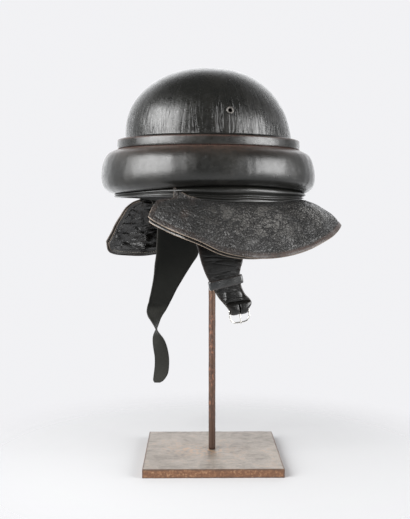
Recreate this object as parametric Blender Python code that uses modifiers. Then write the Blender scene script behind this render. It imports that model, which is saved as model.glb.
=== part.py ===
"""A padded leather flight helmet resting on a plain steel stand.

The stand's underside centre is the origin, +Z is up, and +X runs towards the back of the helmet.
The helmet's pieces hang from one empty at its rim, which is turned a little on the stand.
Lengths are in metres.
"""

import math

import bmesh
import bpy
import numpy as np
from mathutils import Matrix, Vector

# Stand
PLATE_SIDE = 0.190
PLATE_THICKNESS = 0.012
PLATE_EDGE_BEVEL = 0.0012
ROD_RADIUS = 0.0050
ROD_STEPS = 20
ROD_SMOOTH_ANGLE = math.radians(40.0)
CAP_HALF_LENGTH = 0.055
CAP_THICKNESS = 0.009
# How much further below the crown's face the cap lies, upright, than the wall and clearance are thick
CAP_SLOPE_SHARE = 1.12

# Place of the helmet on the stand
HELMET_SHIFT = -0.004
HELMET_TURN = math.radians(16.0)

# Heights: the rim's above the floor, and each level's above the one below it
RIM_BOTTOM = 0.3735
RIM_HEIGHT = 0.0055
ROLL_ARCH = 0.0087
ROLL_HEIGHT = 0.0605
BAND_HEIGHT = 0.0134
SHOULDER_HEIGHT = 0.0081
CROWN_HEIGHT = 0.1008
WALL_OVERLAP = 0.0092

# Leather and clearances
GAP = 0.0003
LEATHER = 0.0018
LINING = 0.0012
STRAP_LEATHER = 0.0020
WALL_LEATHER = 0.0023
BAND_LEATHER = 0.0023
KEEPER_LEATHER = 0.0014

# Crown: half its length, front to back, and its width as a share of its length
CROWN_HALF_LENGTH = 0.1180
OVAL_SHARE = 0.815
CROWN_WALL = 0.0030
CROWN_FULLNESS = 2.15
CROWN_FORWARD_BULGE = 0.0026
CROWN_ROWS = 11
RING_STEPS = 48
SHOULDER_LIP = 0.0006
SKIRT_FOOT = 0.0015
BAND_CREST = 0.0004

# Depths outward, square to the oval
SHOULDER_DEPTH = 0.0089
ROLL_DEPTH = 0.0281
RIM_DEPTH = 0.0109
STRAP_RING_DEPTH = 0.0035
FLAP_RING_DEPTH = 0.0076

# Levels and half-lengths that follow
ROLL_LOW = RIM_BOTTOM + RIM_HEIGHT
ROLL_TOP = ROLL_LOW + ROLL_HEIGHT
BAND_TOP = ROLL_TOP + BAND_HEIGHT
SHOULDER_TOP = BAND_TOP + SHOULDER_HEIGHT
CROWN_TOP = BAND_TOP + CROWN_HEIGHT
SKIRT_HALF_LENGTH = CROWN_HALF_LENGTH + SHOULDER_DEPTH
WALL_HALF_LENGTH = SKIRT_HALF_LENGTH - CROWN_WALL
BAND_HALF_LENGTH = SKIRT_HALF_LENGTH + GAP + BAND_LEATHER
RIM_HALF_LENGTH = WALL_HALF_LENGTH + RIM_DEPTH

# Padded roll section, as shares of its depth and of its height
ROLL_SECTION = (
    # outward, down
    (0.00, 0.000),
    (0.18, 0.000),
    (0.46, 0.050),
    (0.73, 0.140),
    (0.91, 0.320),
    (1.00, 0.580),
    (0.95, 0.800),
    (0.79, 0.915),
    (0.50, 1.000),
    (0.00, 1.000),
)

# Rolled rim section, as shares of its depth and of its height
RIM_SECTION = (
    # outward, down
    (0.00, 0.00),
    (0.80, 0.00),
    (0.97, 0.28),
    (0.86, 0.52),
    (1.00, 0.74),
    (0.90, 0.95),
    (0.62, 1.00),
    (0.00, 1.00),
)

# Flap, from its left front corner round the back to its right front corner.
# Turns are counted from the front over the wearer's left, in degrees.
FLAP_FORWARD = 0.032
FLAP_REACH = 0.055
FLAP_DROP = 0.086
FLAP_SHAPE = (
    # turn, then shares of the forward swing, the reach and the drop
    (48.5, 0.06, 0.66, 0.29),
    (51.0, 0.06, 0.69, 0.34),
    (60.0, 0.00, 0.78, 0.48),
    (70.0, 0.00, 0.84, 0.63),
    (80.0, 0.00, 0.84, 0.78),
    (90.0, 0.00, 0.84, 0.87),
    (100.0, 0.00, 0.86, 0.885),
    (110.0, 0.00, 0.91, 0.86),
    (120.0, 0.00, 0.96, 0.78),
    (130.0, 0.00, 1.01, 0.67),
    (140.0, 0.00, 1.03, 0.57),
    (152.0, 0.00, 1.01, 0.46),
    (172.0, 0.00, 0.93, 0.34),
    (192.0, 0.00, 0.89, 0.34),
    (212.0, 0.00, 0.87, 0.44),
    (232.0, 0.00, 0.78, 0.60),
    (252.0, 0.06, 0.67, 0.79),
    (270.0, 0.19, 0.58, 0.93),
    (288.0, 0.44, 0.53, 1.00),
    (301.0, 0.75, 0.49, 0.98),
    (307.0, 0.91, 0.47, 0.94),
    (311.0, 1.00, 0.46, 0.87),
    (313.0, 1.00, 0.44, 0.72),
)
FLAP_STEPS = 49
FLAP_END_TURNS = (1.2, 3.0)
FLAP_ROWS = 6
FLAP_BEND_OUT = 0.55
FLAP_BEND_DOWN = 0.12
FLAP_HINGE_DROP = 0.0008
FLAP_TAB_TURN = 16.0
FLAP_TAB_FADE = 10.0
FLAP_TAB_RISE = 0.0102
FLAP_TAB_CLEARANCE = 0.0001
FLAP_RIPPLE = 0.0012
FLAP_RIPPLES = 17
LINING_INSET = 0.0015

# Straps: where they are sewn in under the rim, in degrees from the front
STRAP_TURN_FRONT = 60.0
STRAP_TURN_REAR = 96.0
STRAP_COLUMNS = 5
STRAP_STRAIGHTENING = 0.075

# Left strap, down to the buckle's bar
LEFT_STRAP_LENGTH = 0.1473
LEFT_STRAP_WIDTH = 0.0670
LEFT_STRAP_PLANE = 0.1060
LEFT_STRAP_SHAPE = (
    # front edge across and down, rear edge across and down, layers outward
    (-0.770, 0.193, 0.231, 0.193, 0.00),
    (-0.750, 0.377, 0.224, 0.377, 0.00),
    (-0.694, 0.479, 0.216, 0.479, 0.10),
    (-0.636, 0.580, 0.184, 0.567, 0.30),
    (-0.579, 0.655, 0.137, 0.642, 0.60),
    (-0.499, 0.730, 0.128, 0.703, 0.60),
    (-0.428, 0.784, 0.142, 0.757, 0.60),
    (-0.358, 0.845, 0.172, 0.811, 0.65),
    (-0.276, 0.900, 0.236, 0.866, 0.90),
    (-0.182, 0.947, 0.331, 0.910, 1.35),
    (-0.113, 0.981, 0.352, 0.947, 1.65),
)
STRAP_RETURN_ROWS = 6
STRAP_RETURN_SHARE = 0.96

# Buckle
BAR_ACROSS = 0.119
BAR_TILT = math.radians(7.0)
WIRE_RADIUS = 0.0010
FRAME_INNER_WIDTH = 0.0248
FRAME_DROP = 0.0170
FRAME_CORNER = 0.0068
BAR_CORNER = 0.0015
CORNER_STEPS = 3
PRONG_RADIUS = 0.0008
PRONG_LENGTH = 0.0182
PRONG_CURL_START = -50.0
PRONG_CURL_STEPS = 10
PRONG_TONGUE_SHARES = (0.25, 0.60, 1.00)
PRONG_SLOT_WIDTH = 0.0036
PRONG_SLOT_RISE = 0.0075
PRONG_SLOT_FALL = 0.0060
FOLD_WIDTH = 0.0238
FOLD_RADIUS = 0.0034
FOLD_STEPS = 6
CUTTER_DEPTH = 0.020

# Keeper
KEEPER_ACROSS = -0.149
KEEPER_DOWN = 0.756
KEEPER_TILT = math.radians(12.0)
KEEPER_HEIGHT = 0.0115
KEEPER_INNER_WIDTH = 0.0440
KEEPER_INNER_DEPTH = 0.0052
KEEPER_CORNER = 0.0015
KEEPER_CORNER_STEPS = 2

# Right strap, down to its free end
RIGHT_STRAP_LENGTH = 0.2823
RIGHT_STRAP_WIDTH = 0.0675
RIGHT_STRAP_PLANE = 0.1040
RIGHT_STRAP_SHAPE = (
    # down, centre across, width, twist in degrees
    (0.101, -0.276, 1.000, 0.0),
    (0.197, -0.274, 0.978, 0.0),
    (0.260, -0.281, 0.978, 0.0),
    (0.306, -0.293, 0.978, 0.0),
    (0.356, -0.378, 0.870, 0.0),
    (0.416, -0.473, 0.727, 0.0),
    (0.498, -0.610, 0.579, 0.0),
    (0.551, -0.695, 0.523, 2.0),
    (0.604, -0.779, 0.468, 8.0),
    (0.632, -0.807, 0.422, 25.0),
    (0.657, -0.800, 0.385, 44.0),
    (0.682, -0.788, 0.359, 60.0),
    (0.707, -0.782, 0.341, 76.0),
    (0.731, -0.770, 0.333, 97.0),
    (0.756, -0.748, 0.333, 120.0),
    (0.785, -0.719, 0.333, 137.0),
    (0.817, -0.689, 0.333, 147.0),
    (0.863, -0.659, 0.329, 150.0),
    (0.909, -0.659, 0.326, 150.0),
    (0.948, -0.679, 0.319, 150.0),
    (0.972, -0.711, 0.281, 150.0),
    (0.990, -0.745, 0.222, 150.0),
    (1.000, -0.767, 0.133, 150.0),
)

# Vents: the side ones' height as a share of the crown's, and the eyelet's own sizes
VENT_RISE = 0.330
VENT_BACK = 0.0004
VENT_FLANGE_RADIUS = 0.0045
VENT_FLANGE_THICKNESS = 0.0007
VENT_BARREL_RADIUS = 0.0027
VENT_BORE_RADIUS = 0.0021
VENT_HOLE_RADIUS = 0.0030
VENT_STEPS = 16

# Materials
MATERIALS = (
    # name, colour, roughness, metallic
    ("black_leather", (0.012, 0.011, 0.011), 0.42, 0.0),
    ("worn_leather", (0.020, 0.014, 0.012), 0.50, 0.0),
    ("lining_leather", (0.016, 0.014, 0.013), 0.35, 0.0),
    ("nickel_wire", (0.62, 0.60, 0.57), 0.28, 1.0),
    ("blackened_metal", (0.05, 0.05, 0.05), 0.40, 0.8),
    ("bare_steel", (0.36, 0.31, 0.27), 0.60, 0.5),
    ("rusty_steel", (0.13, 0.085, 0.065), 0.70, 0.4),
)


def clear_scene():
    """Removes every object that the scene starts with."""
    for obj in list(bpy.data.objects):
        bpy.data.objects.remove(obj, do_unlink=True)


def new_collection(name):
    """Makes a collection in the scene."""
    made = bpy.data.collections.new(name)
    bpy.context.scene.collection.children.link(made)
    return made


def new_material(name, colour, roughness, metallic):
    """Makes a plain material."""
    made = bpy.data.materials.new(name)
    made.use_nodes = True
    shader = made.node_tree.nodes["Principled BSDF"]
    shader.inputs["Base Color"].default_value = (*colour, 1.0)
    shader.inputs["Roughness"].default_value = roughness
    shader.inputs["Metallic"].default_value = metallic
    made.diffuse_color = (*colour, 1.0)
    return made


def link_piece(name, mesh, material, home, parent=None, smooth=True):
    """Turns a mesh into a named piece."""
    piece = bpy.data.objects.new(name, mesh)
    mesh.name = name
    mesh.materials.append(material)
    mesh.polygons.foreach_set("use_smooth", [smooth] * len(mesh.polygons))
    home.objects.link(piece)
    piece.parent = parent
    return piece


def mesh_from(points, faces):
    """Makes a mesh with its faces turned outward."""
    mesh = bpy.data.meshes.new("shape")
    mesh.from_pydata([tuple(point) for point in points], [], faces)
    mesh.update()
    return mesh


def turn_outward(mesh):
    """Turns a closed mesh's faces outward."""
    work = bmesh.new()
    work.from_mesh(mesh)
    bmesh.ops.recalc_face_normals(work, faces=work.faces)
    work.to_mesh(mesh)
    work.free()


def grid_faces(rows, columns, closed_rows=False, closed_columns=False):
    """Lists the quads of a grid of points that are stored row by row."""
    faces = []
    for row in range(rows if closed_rows else rows - 1):
        below = (row + 1) % rows
        for column in range(columns if closed_columns else columns - 1):
            beside = (column + 1) % columns
            corners = (row, column), (below, column), (below, beside), (row, beside)
            faces.append([r * columns + c for r, c in corners])
    return faces


def oval_half_width(half_length):
    """Half-width of the helmet's oval at a half-length: to scale on the crown, and parallel outside it."""
    outside = max(0.0, half_length - CROWN_HALF_LENGTH)
    return OVAL_SHARE * (half_length - outside) + outside


def oval_point(half_length, turn, height):
    """Point on the oval, with the turn in degrees counted from the front over the wearer's left."""
    angle = math.radians(turn)
    x = -half_length * math.cos(angle)
    y = -oval_half_width(half_length) * math.sin(angle)
    return np.array([x, y, height])


def oval_outward(half_length, turn):
    """Unit vector square to the oval at a turn."""
    angle = math.radians(turn)
    outward = np.array([-math.cos(angle) / half_length, -math.sin(angle) / oval_half_width(half_length), 0.0])
    return outward / np.linalg.norm(outward)


def roll_low(turn):
    """Height of the roll's lower edge, which arches up over each ear."""
    return ROLL_LOW + ROLL_ARCH * math.sin(math.radians(turn)) ** 2


def ring_turns():
    """Turns of the steps that every ring shares."""
    return [360.0 * step / RING_STEPS for step in range(RING_STEPS)]


def ring_mesh(section_at):
    """Lofts a closed section round the oval. section_at gives the (half-length, height) pairs at a turn."""
    points = []
    for turn in ring_turns():
        section = section_at(turn)
        points += [oval_point(half_length, turn, height) for half_length, height in section]
    mesh = mesh_from(points, grid_faces(RING_STEPS, len(section), True, True))
    turn_outward(mesh)
    return mesh


def smooth_value(x, places, values):
    """Reads a smooth curve through a table's values."""
    index = min(max(int(np.searchsorted(places, x)) - 1, 0), len(places) - 2)
    before = max(index - 1, 0)
    after = min(index + 2, len(places) - 1)
    span = places[index + 1] - places[index]
    share = (x - places[index]) / span
    slope_in = (values[index + 1] - values[before]) / (places[index + 1] - places[before]) * span
    slope_out = (values[after] - values[index]) / (places[after] - places[index]) * span
    start, end = values[index], values[index + 1]
    cube, square = share**3, share**2
    return (
        (2 * cube - 3 * square + 1) * start
        + (cube - 2 * square + share) * slope_in
        + (3 * square - 2 * cube) * end
        + (cube - square) * slope_out
    )


def solidify(piece, thickness, offset):
    """Gives an open sheet its thickness."""
    made = piece.modifiers.new("thickness", "SOLIDIFY")
    made.thickness = thickness
    made.offset = offset
    made.use_even_offset = False


def crown_outline(down):
    """Half-length and height of the crown's outer face, from its top (0) to its lower edge (1)."""
    angle = 0.5 * math.pi * down
    power = 2.0 / CROWN_FULLNESS
    half_length = CROWN_HALF_LENGTH * math.sin(angle) ** power
    height = BAND_TOP + CROWN_HEIGHT * math.cos(angle) ** power
    return half_length, height


def crown_profile():
    """Rows of the crown's outer face below its top point."""
    rows = [crown_outline(row / CROWN_ROWS) for row in range(1, CROWN_ROWS + 1)]
    rows = [row for row in rows if row[1] > SHOULDER_TOP]
    skirt_top = (SKIRT_HALF_LENGTH, BAND_TOP + SHOULDER_LIP)
    skirt_low = (SKIRT_HALF_LENGTH, ROLL_TOP + SKIRT_FOOT)
    return rows + [(CROWN_HALF_LENGTH, SHOULDER_TOP), skirt_top, skirt_low]


def crown_shift(height):
    """How far the crown's oval stands forward at a height: the brow is fuller than the back."""
    share = min(max((height - BAND_TOP) / CROWN_HEIGHT, 0.0), 1.0)
    return -4.0 * CROWN_FORWARD_BULGE * share * (1.0 - share)


def crown_point(half_length, turn, height):
    """Point on the crown's outer face."""
    return oval_point(half_length, turn, height) + np.array([crown_shift(height), 0.0, 0.0])


def vent_places():
    """Names, places and directions of the eyelets: one over each ear and one at the top."""
    scale = (1.0 - VENT_RISE**CROWN_FULLNESS) ** (1.0 / CROWN_FULLNESS)
    half_width = oval_half_width(CROWN_HALF_LENGTH)
    slope = (VENT_RISE / scale) ** (CROWN_FULLNESS - 1.0) * half_width / CROWN_HEIGHT
    left = Vector((VENT_BACK, -half_width * scale, BAND_TOP + VENT_RISE * CROWN_HEIGHT))
    left_way = Vector((0.0, -1.0, slope)).normalized()
    flip = Matrix.Diagonal((1.0, -1.0, 1.0))
    top = Vector((0.0, 0.0, CROWN_TOP))
    return (
        ("left_vent", left, left_way),
        ("right_vent", flip @ left, flip @ left_way),
        ("crown_vent", top, Vector((0.0, 0.0, 1.0))),
    )


def cut_holes(piece, home):
    """Cuts the eyelets' holes through the crown."""
    for name, place, way in vent_places():
        bpy.ops.mesh.primitive_cylinder_add(vertices=VENT_STEPS, radius=VENT_HOLE_RADIUS, depth=CUTTER_DEPTH)
        cutter = bpy.context.object
        cutter.name = f"hole_for_{name}"
        cutter.location = place
        cutter.rotation_euler = way.to_track_quat("Z", "Y").to_euler()
        cutter.parent = piece.parent
        cutter.hide_render = True
        cutter.display_type = "WIRE"
        for owner in list(cutter.users_collection):
            owner.objects.unlink(cutter)
        home.objects.link(cutter)
        cut = piece.modifiers.new(f"hole {name}", "BOOLEAN")
        cut.operation = "DIFFERENCE"
        cut.object = cutter


def build_crown(home, cutters, parent, material):
    """Stiff hollow crown: a dome that flares to a shoulder and a skirt under the band."""
    rows = crown_profile()
    points = [np.array([0.0, 0.0, CROWN_TOP])]
    for half_length, height in rows:
        points += [crown_point(half_length, turn, height) for turn in ring_turns()]
    faces = [[0, 1 + step, 1 + (step + 1) % RING_STEPS] for step in range(RING_STEPS)]
    for quad in grid_faces(len(rows), RING_STEPS, closed_columns=True):
        faces.append([1 + corner for corner in quad])
    crown = link_piece("crown_shell", mesh_from(points, faces), material, home, parent)
    solidify(crown, CROWN_WALL, -1.0)
    cut_holes(crown, cutters)
    return crown


def build_vents(home, parent, material):
    """Eyelets: a flange on the crown and a barrel through it."""
    half_flange = 0.5 * VENT_FLANGE_THICKNESS
    profile = (
        (VENT_BORE_RADIUS, -CROWN_WALL),
        (VENT_BORE_RADIUS, GAP + VENT_FLANGE_THICKNESS),
        (VENT_FLANGE_RADIUS - half_flange, GAP + VENT_FLANGE_THICKNESS),
        (VENT_FLANGE_RADIUS, GAP + half_flange),
        (VENT_FLANGE_RADIUS - half_flange, GAP),
        (VENT_BARREL_RADIUS, GAP),
        (VENT_BARREL_RADIUS, -CROWN_WALL),
    )
    for name, place, way in vent_places():
        points = []
        for step in range(VENT_STEPS):
            angle = 2.0 * math.pi * step / VENT_STEPS
            points += [(r * math.cos(angle), r * math.sin(angle), z) for r, z in profile]
        mesh = mesh_from(points, grid_faces(VENT_STEPS, len(profile), True, True))
        turn_outward(mesh)
        vent = link_piece(name, mesh, material, home, parent)
        vent.location = place
        vent.rotation_euler = way.to_track_quat("Z", "Y").to_euler()


def build_band(home, parent, material):
    """Leather band that covers the join between the crown and the roll."""
    inner = SKIRT_HALF_LENGTH + GAP
    top = BAND_TOP
    low = ROLL_TOP + GAP
    middle = 0.5 * (top + low)
    section = (
        (inner, top),
        (BAND_HALF_LENGTH - BAND_CREST, top),
        (BAND_HALF_LENGTH, top - 2.0 * BAND_CREST),
        (BAND_HALF_LENGTH + BAND_CREST, middle),
        (BAND_HALF_LENGTH, low + 2.0 * BAND_CREST),
        (BAND_HALF_LENGTH - BAND_CREST, low),
        (inner, low),
    )
    link_piece("crown_band", ring_mesh(lambda turn: section), material, home, parent)


def build_inner_wall(home, parent, material):
    """Leather wall of the head opening, from the rim up inside the crown's skirt."""
    outer = WALL_HALF_LENGTH - GAP
    inner = outer - WALL_LEATHER
    top = ROLL_TOP + WALL_OVERLAP
    middle = 0.5 * (top + RIM_BOTTOM)
    section = (
        (outer, top),
        (outer, middle),
        (outer, RIM_BOTTOM),
        (inner, RIM_BOTTOM),
        (inner, middle),
        (inner, top),
    )
    link_piece("inner_wall", ring_mesh(lambda turn: section), material, home, parent)


def build_roll(home, parent, material):
    """Padded roll that runs round the helmet below the band."""

    def section_at(turn):
        height = ROLL_TOP - roll_low(turn)
        return [(WALL_HALF_LENGTH + ROLL_DEPTH * out, ROLL_TOP - height * down) for out, down in ROLL_SECTION]

    link_piece("padded_roll", ring_mesh(section_at), material, home, parent)


def build_rim(home, parent, material):
    """Rolled leather rim below the padded roll."""

    def section_at(turn):
        top = roll_low(turn) - GAP
        height = top - RIM_BOTTOM
        return [(WALL_HALF_LENGTH + RIM_DEPTH * out, top - height * down) for out, down in RIM_SECTION]

    link_piece("rolled_rim", ring_mesh(section_at), material, home, parent)


def flap_columns():
    """Turns of the flap's columns, closer together at its rounded corners."""
    first = FLAP_SHAPE[0][0]
    last = FLAP_SHAPE[-1][0]
    even = [first + (last - first) * step / FLAP_STEPS for step in range(FLAP_STEPS + 1)]
    start = [first + turn for turn in FLAP_END_TURNS]
    end = [last - turn for turn in FLAP_END_TURNS]
    return sorted(even + start + end)


def flap_top(turn):
    """Half-length and height of the flap's top edge at a turn: the corners lap over the rim."""
    from_corner = min(turn - FLAP_SHAPE[0][0], FLAP_SHAPE[-1][0] - turn)
    lapped = RIM_HALF_LENGTH + GAP + LEATHER + FLAP_TAB_CLEARANCE
    under = min(max((from_corner - FLAP_TAB_TURN) / FLAP_TAB_FADE, 0.0), 1.0)
    half_length = lapped + (WALL_HALF_LENGTH + FLAP_RING_DEPTH - lapped) * under
    rise = FLAP_TAB_RISE * max(0.0, 1.0 - from_corner / FLAP_TAB_TURN)
    return half_length, RIM_BOTTOM - GAP + rise


def flap_point(turn, down, half_length):
    """Point of the flap's outer face below its hinge line: down runs from 0 at the hinge to 1 at the edge."""
    table = np.array(FLAP_SHAPE)
    shares = [smooth_value(turn, table[:, 0], table[:, column]) for column in (1, 2, 3)]
    forward, reach, drop = np.array(shares) * (FLAP_FORWARD, FLAP_REACH, FLAP_DROP)
    outward = oval_outward(RIM_HALF_LENGTH, turn)
    side = 1.0 if turn > 180.0 else -1.0
    ahead = np.array([side * outward[1], -side * outward[0], 0.0])
    if ahead[0] > 0.0:
        ahead = -ahead
    bend = 2.0 * down * (1.0 - down)
    square = down * down
    out = reach * (FLAP_BEND_OUT * bend + square)
    fall = drop * (FLAP_BEND_DOWN * bend + square)
    ripple = FLAP_RIPPLE * square * math.sin(math.radians(turn) * FLAP_RIPPLES)
    hinge = oval_point(half_length, turn, RIM_BOTTOM - GAP - FLAP_HINGE_DROP)
    return hinge + outward * (out + ripple) + ahead * forward * square - np.array([0.0, 0.0, fall])


def flap_grid(top_row, reach_share):
    """Rows of the flap's outer face, with or without its top edge."""
    turns = flap_columns()
    tops = [flap_top(turn) for turn in turns]
    rows = []
    if top_row:
        rows.append([oval_point(top[0], turn, top[1]) for turn, top in zip(turns, tops)])
    for row in range(FLAP_ROWS + 1):
        down = reach_share * row / FLAP_ROWS
        rows.append([flap_point(turn, down, top[0]) for turn, top in zip(turns, tops)])
    return np.array(rows)


def grid_normals(grid):
    """Unit normals of a grid of points, pointing outward and up."""
    along = np.gradient(grid, axis=1)
    down = np.gradient(grid, axis=0)
    normals = np.cross(along, down)
    normals /= np.linalg.norm(normals, axis=2, keepdims=True)
    middle = normals[grid.shape[0] // 2, grid.shape[1] // 2]
    return normals if middle[2] > 0.0 else -normals


def sheet_mesh(grid, outward_hint):
    """Makes an open sheet whose faces look along a given direction at its middle."""
    rows, columns = grid.shape[:2]
    mesh = mesh_from(grid.reshape(-1, 3), grid_faces(rows, columns))
    middle = mesh.polygons[len(mesh.polygons) // 2]
    if middle.normal.dot(Vector(outward_hint)) < 0.0:
        mesh.flip_normals()
    return mesh


def build_flap(home, parent, leather, lining):
    """Leather flap round the sides and back, with its lining a hair inside it."""
    outer = flap_grid(True, 1.0)
    flap = link_piece("neck_flap", sheet_mesh(outer, (1.0, 0.0, 1.0)), leather, home, parent)
    solidify(flap, LEATHER, -1.0)
    inset = 1.0 - LINING_INSET / FLAP_DROP
    inner = flap_grid(False, inset)
    inner = inner - grid_normals(inner) * (LEATHER + GAP)
    backing = link_piece("flap_lining", sheet_mesh(inner, (1.0, 0.0, 1.0)), lining, home, parent)
    solidify(backing, LINING, -1.0)


def strap_top_row(side):
    """Row of a strap's points where it is sewn in under the rim. side is -1 on the left and +1 on the right."""
    turns = np.linspace(STRAP_TURN_FRONT, STRAP_TURN_REAR, STRAP_COLUMNS)
    row = [oval_point(WALL_HALF_LENGTH + STRAP_RING_DEPTH, turn, RIM_BOTTOM - GAP) for turn in turns]
    return np.array([[x, -side * y, z] for x, y, z in row])


def eased(share):
    """Smooth step from 0 to 1."""
    share = min(max(share, 0.0), 1.0)
    return share * share * (3.0 - 2.0 * share)


def straight_row(front, rear):
    """Evenly spaced points between two edges."""
    return np.array([front + (rear - front) * share for share in np.linspace(0.0, 1.0, STRAP_COLUMNS)])


def bar_frame():
    """Centre of the buckle's bar, its direction, the way down and the way out, in the helmet's frame."""
    centre = np.array([BAR_ACROSS * LEFT_STRAP_WIDTH, -LEFT_STRAP_PLANE, RIM_BOTTOM - LEFT_STRAP_LENGTH])
    along = np.array([math.cos(BAR_TILT), 0.0, math.sin(BAR_TILT)])
    down = np.array([math.sin(BAR_TILT), 0.0, -math.cos(BAR_TILT)])
    return centre, along, down, np.array([0.0, -1.0, 0.0])


def left_strap_rows():
    """Rows of the left strap's middle face: down the front, round the bar and up the back."""
    centre, along, down, out = bar_frame()
    top = strap_top_row(-1.0)
    front_rows = []
    for front_across, front_down, rear_across, rear_down, layers in LEFT_STRAP_SHAPE:
        plane = -LEFT_STRAP_PLANE - layers * STRAP_LEATHER
        front = [front_across * LEFT_STRAP_WIDTH, plane, RIM_BOTTOM - front_down * LEFT_STRAP_LENGTH]
        rear = [rear_across * LEFT_STRAP_WIDTH, plane, RIM_BOTTOM - rear_down * LEFT_STRAP_LENGTH]
        row = straight_row(np.array(front), np.array(rear))
        straightened = eased((RIM_BOTTOM - row[:, 2].mean()) / STRAP_STRAIGHTENING)
        row[:, 1] = row[:, 1] * straightened + top[:, 1] * (1.0 - straightened)
        front_rows.append(row)
    half = 0.5 * FOLD_WIDTH * along
    wrap_rows = []
    for step in range(FOLD_STEPS + 1):
        angle = math.pi * step / FOLD_STEPS
        middle = centre + FOLD_RADIUS * (math.cos(angle) * out + math.sin(angle) * down)
        wrap_rows.append(straight_row(middle - half, middle + half))
    back_rows = []
    for row, shape in list(zip(front_rows, LEFT_STRAP_SHAPE))[: -STRAP_RETURN_ROWS - 1 : -1]:
        middle = row.mean(axis=0)
        narrowed = middle + (row - middle) * STRAP_RETURN_SHARE
        back_rows.append(narrowed + np.array([0.0, 2.0 * shape[-1] * STRAP_LEATHER, 0.0]))
    return np.array([top] + front_rows + wrap_rows + back_rows)


def cut_prong_slot(strap, home):
    """Cuts the slot for the prong through both sides of the strap's fold."""
    centre, along, down, out = bar_frame()
    length = PRONG_SLOT_RISE + PRONG_SLOT_FALL
    bpy.ops.mesh.primitive_cube_add(size=1.0)
    cutter = bpy.context.object
    cutter.name = "prong_slot"
    cutter.dimensions = (PRONG_SLOT_WIDTH, CUTTER_DEPTH, length)
    turn = Matrix((along, -out, -down)).transposed()
    place = centre - down * (PRONG_SLOT_RISE - 0.5 * length)
    cutter.matrix_basis = Matrix.Translation(place) @ turn.to_4x4() @ Matrix.Diagonal((*cutter.scale, 1.0))
    cutter.parent = strap.parent
    cutter.hide_render = True
    cutter.display_type = "WIRE"
    for owner in list(cutter.users_collection):
        owner.objects.unlink(cutter)
    home.objects.link(cutter)
    cut = strap.modifiers.new("prong slot", "BOOLEAN")
    cut.operation = "DIFFERENCE"
    cut.object = cutter


def build_left_strap(home, cutters, parent, material):
    """Strap on the wearer's left, folded round the buckle's bar."""
    rows = left_strap_rows()
    mesh = mesh_from(rows.reshape(-1, 3), grid_faces(*rows.shape[:2]))
    strap = link_piece("left_strap", mesh, material, home, parent)
    solidify(strap, STRAP_LEATHER, 0.0)
    cut_prong_slot(strap, cutters)


def build_keeper(home, parent, material):
    """Flat leather loop that holds the strap's folded end."""
    half_width = 0.5 * KEEPER_INNER_WIDTH
    half_depth = 0.5 * KEEPER_INNER_DEPTH
    along = np.array([math.cos(KEEPER_TILT), 0.0, math.sin(KEEPER_TILT)])
    up = np.array([-math.sin(KEEPER_TILT), 0.0, math.cos(KEEPER_TILT)])
    out = np.array([0.0, -1.0, 0.0])
    height = RIM_BOTTOM - KEEPER_DOWN * LEFT_STRAP_LENGTH
    centre = np.array([KEEPER_ACROSS * LEFT_STRAP_WIDTH, -LEFT_STRAP_PLANE, height])
    round_trip = []
    for quarter in range(4):
        sign_along = (1, -1, -1, 1)[quarter]
        sign_out = (1, 1, -1, -1)[quarter]
        for step in range(KEEPER_CORNER_STEPS + 1):
            angle = 0.5 * math.pi * (quarter + step / KEEPER_CORNER_STEPS)
            round_trip.append((sign_along, sign_out, math.cos(angle), math.sin(angle)))
    rows = []
    for sign_along, sign_out, cosine, sine in round_trip:
        corner = centre + sign_along * (half_width - KEEPER_CORNER) * along + sign_out * (half_depth - KEEPER_CORNER) * out
        section = []
        for radius, lift in ((0.0, -0.5), (0.0, 0.5), (KEEPER_LEATHER, 0.5), (KEEPER_LEATHER, -0.5)):
            reach = KEEPER_CORNER + radius
            section.append(corner + reach * (cosine * along + sine * out) + lift * KEEPER_HEIGHT * up)
        rows.append(section)
    rows = np.array(rows)
    mesh = mesh_from(rows.reshape(-1, 3), grid_faces(len(rows), 4, True, True))
    turn_outward(mesh)
    link_piece("strap_keeper", mesh, material, home, parent)


def wire(name, points, radius, closed, material, home):
    """Round wire along a list of points."""
    curve = bpy.data.curves.new(name, "CURVE")
    curve.dimensions = "3D"
    curve.bevel_depth = radius
    curve.bevel_resolution = 2
    curve.use_fill_caps = True
    spline = curve.splines.new("POLY")
    spline.points.add(len(points) - 1)
    for target, point in zip(spline.points, points):
        target.co = (*point, 1.0)
    spline.use_cyclic_u = closed
    spline.use_smooth = True
    curve.materials.append(material)
    piece = bpy.data.objects.new(name, curve)
    home.objects.link(piece)
    return piece


def place_on_bar(piece, parent):
    """Puts a piece's origin on the bar's axis: its X along the bar, its Y out and its Z up."""
    centre, along, down, out = bar_frame()
    turn = Matrix((along, out, -down)).transposed()
    piece.matrix_basis = Matrix.Translation(centre) @ turn.to_4x4()
    piece.parent = parent


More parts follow.
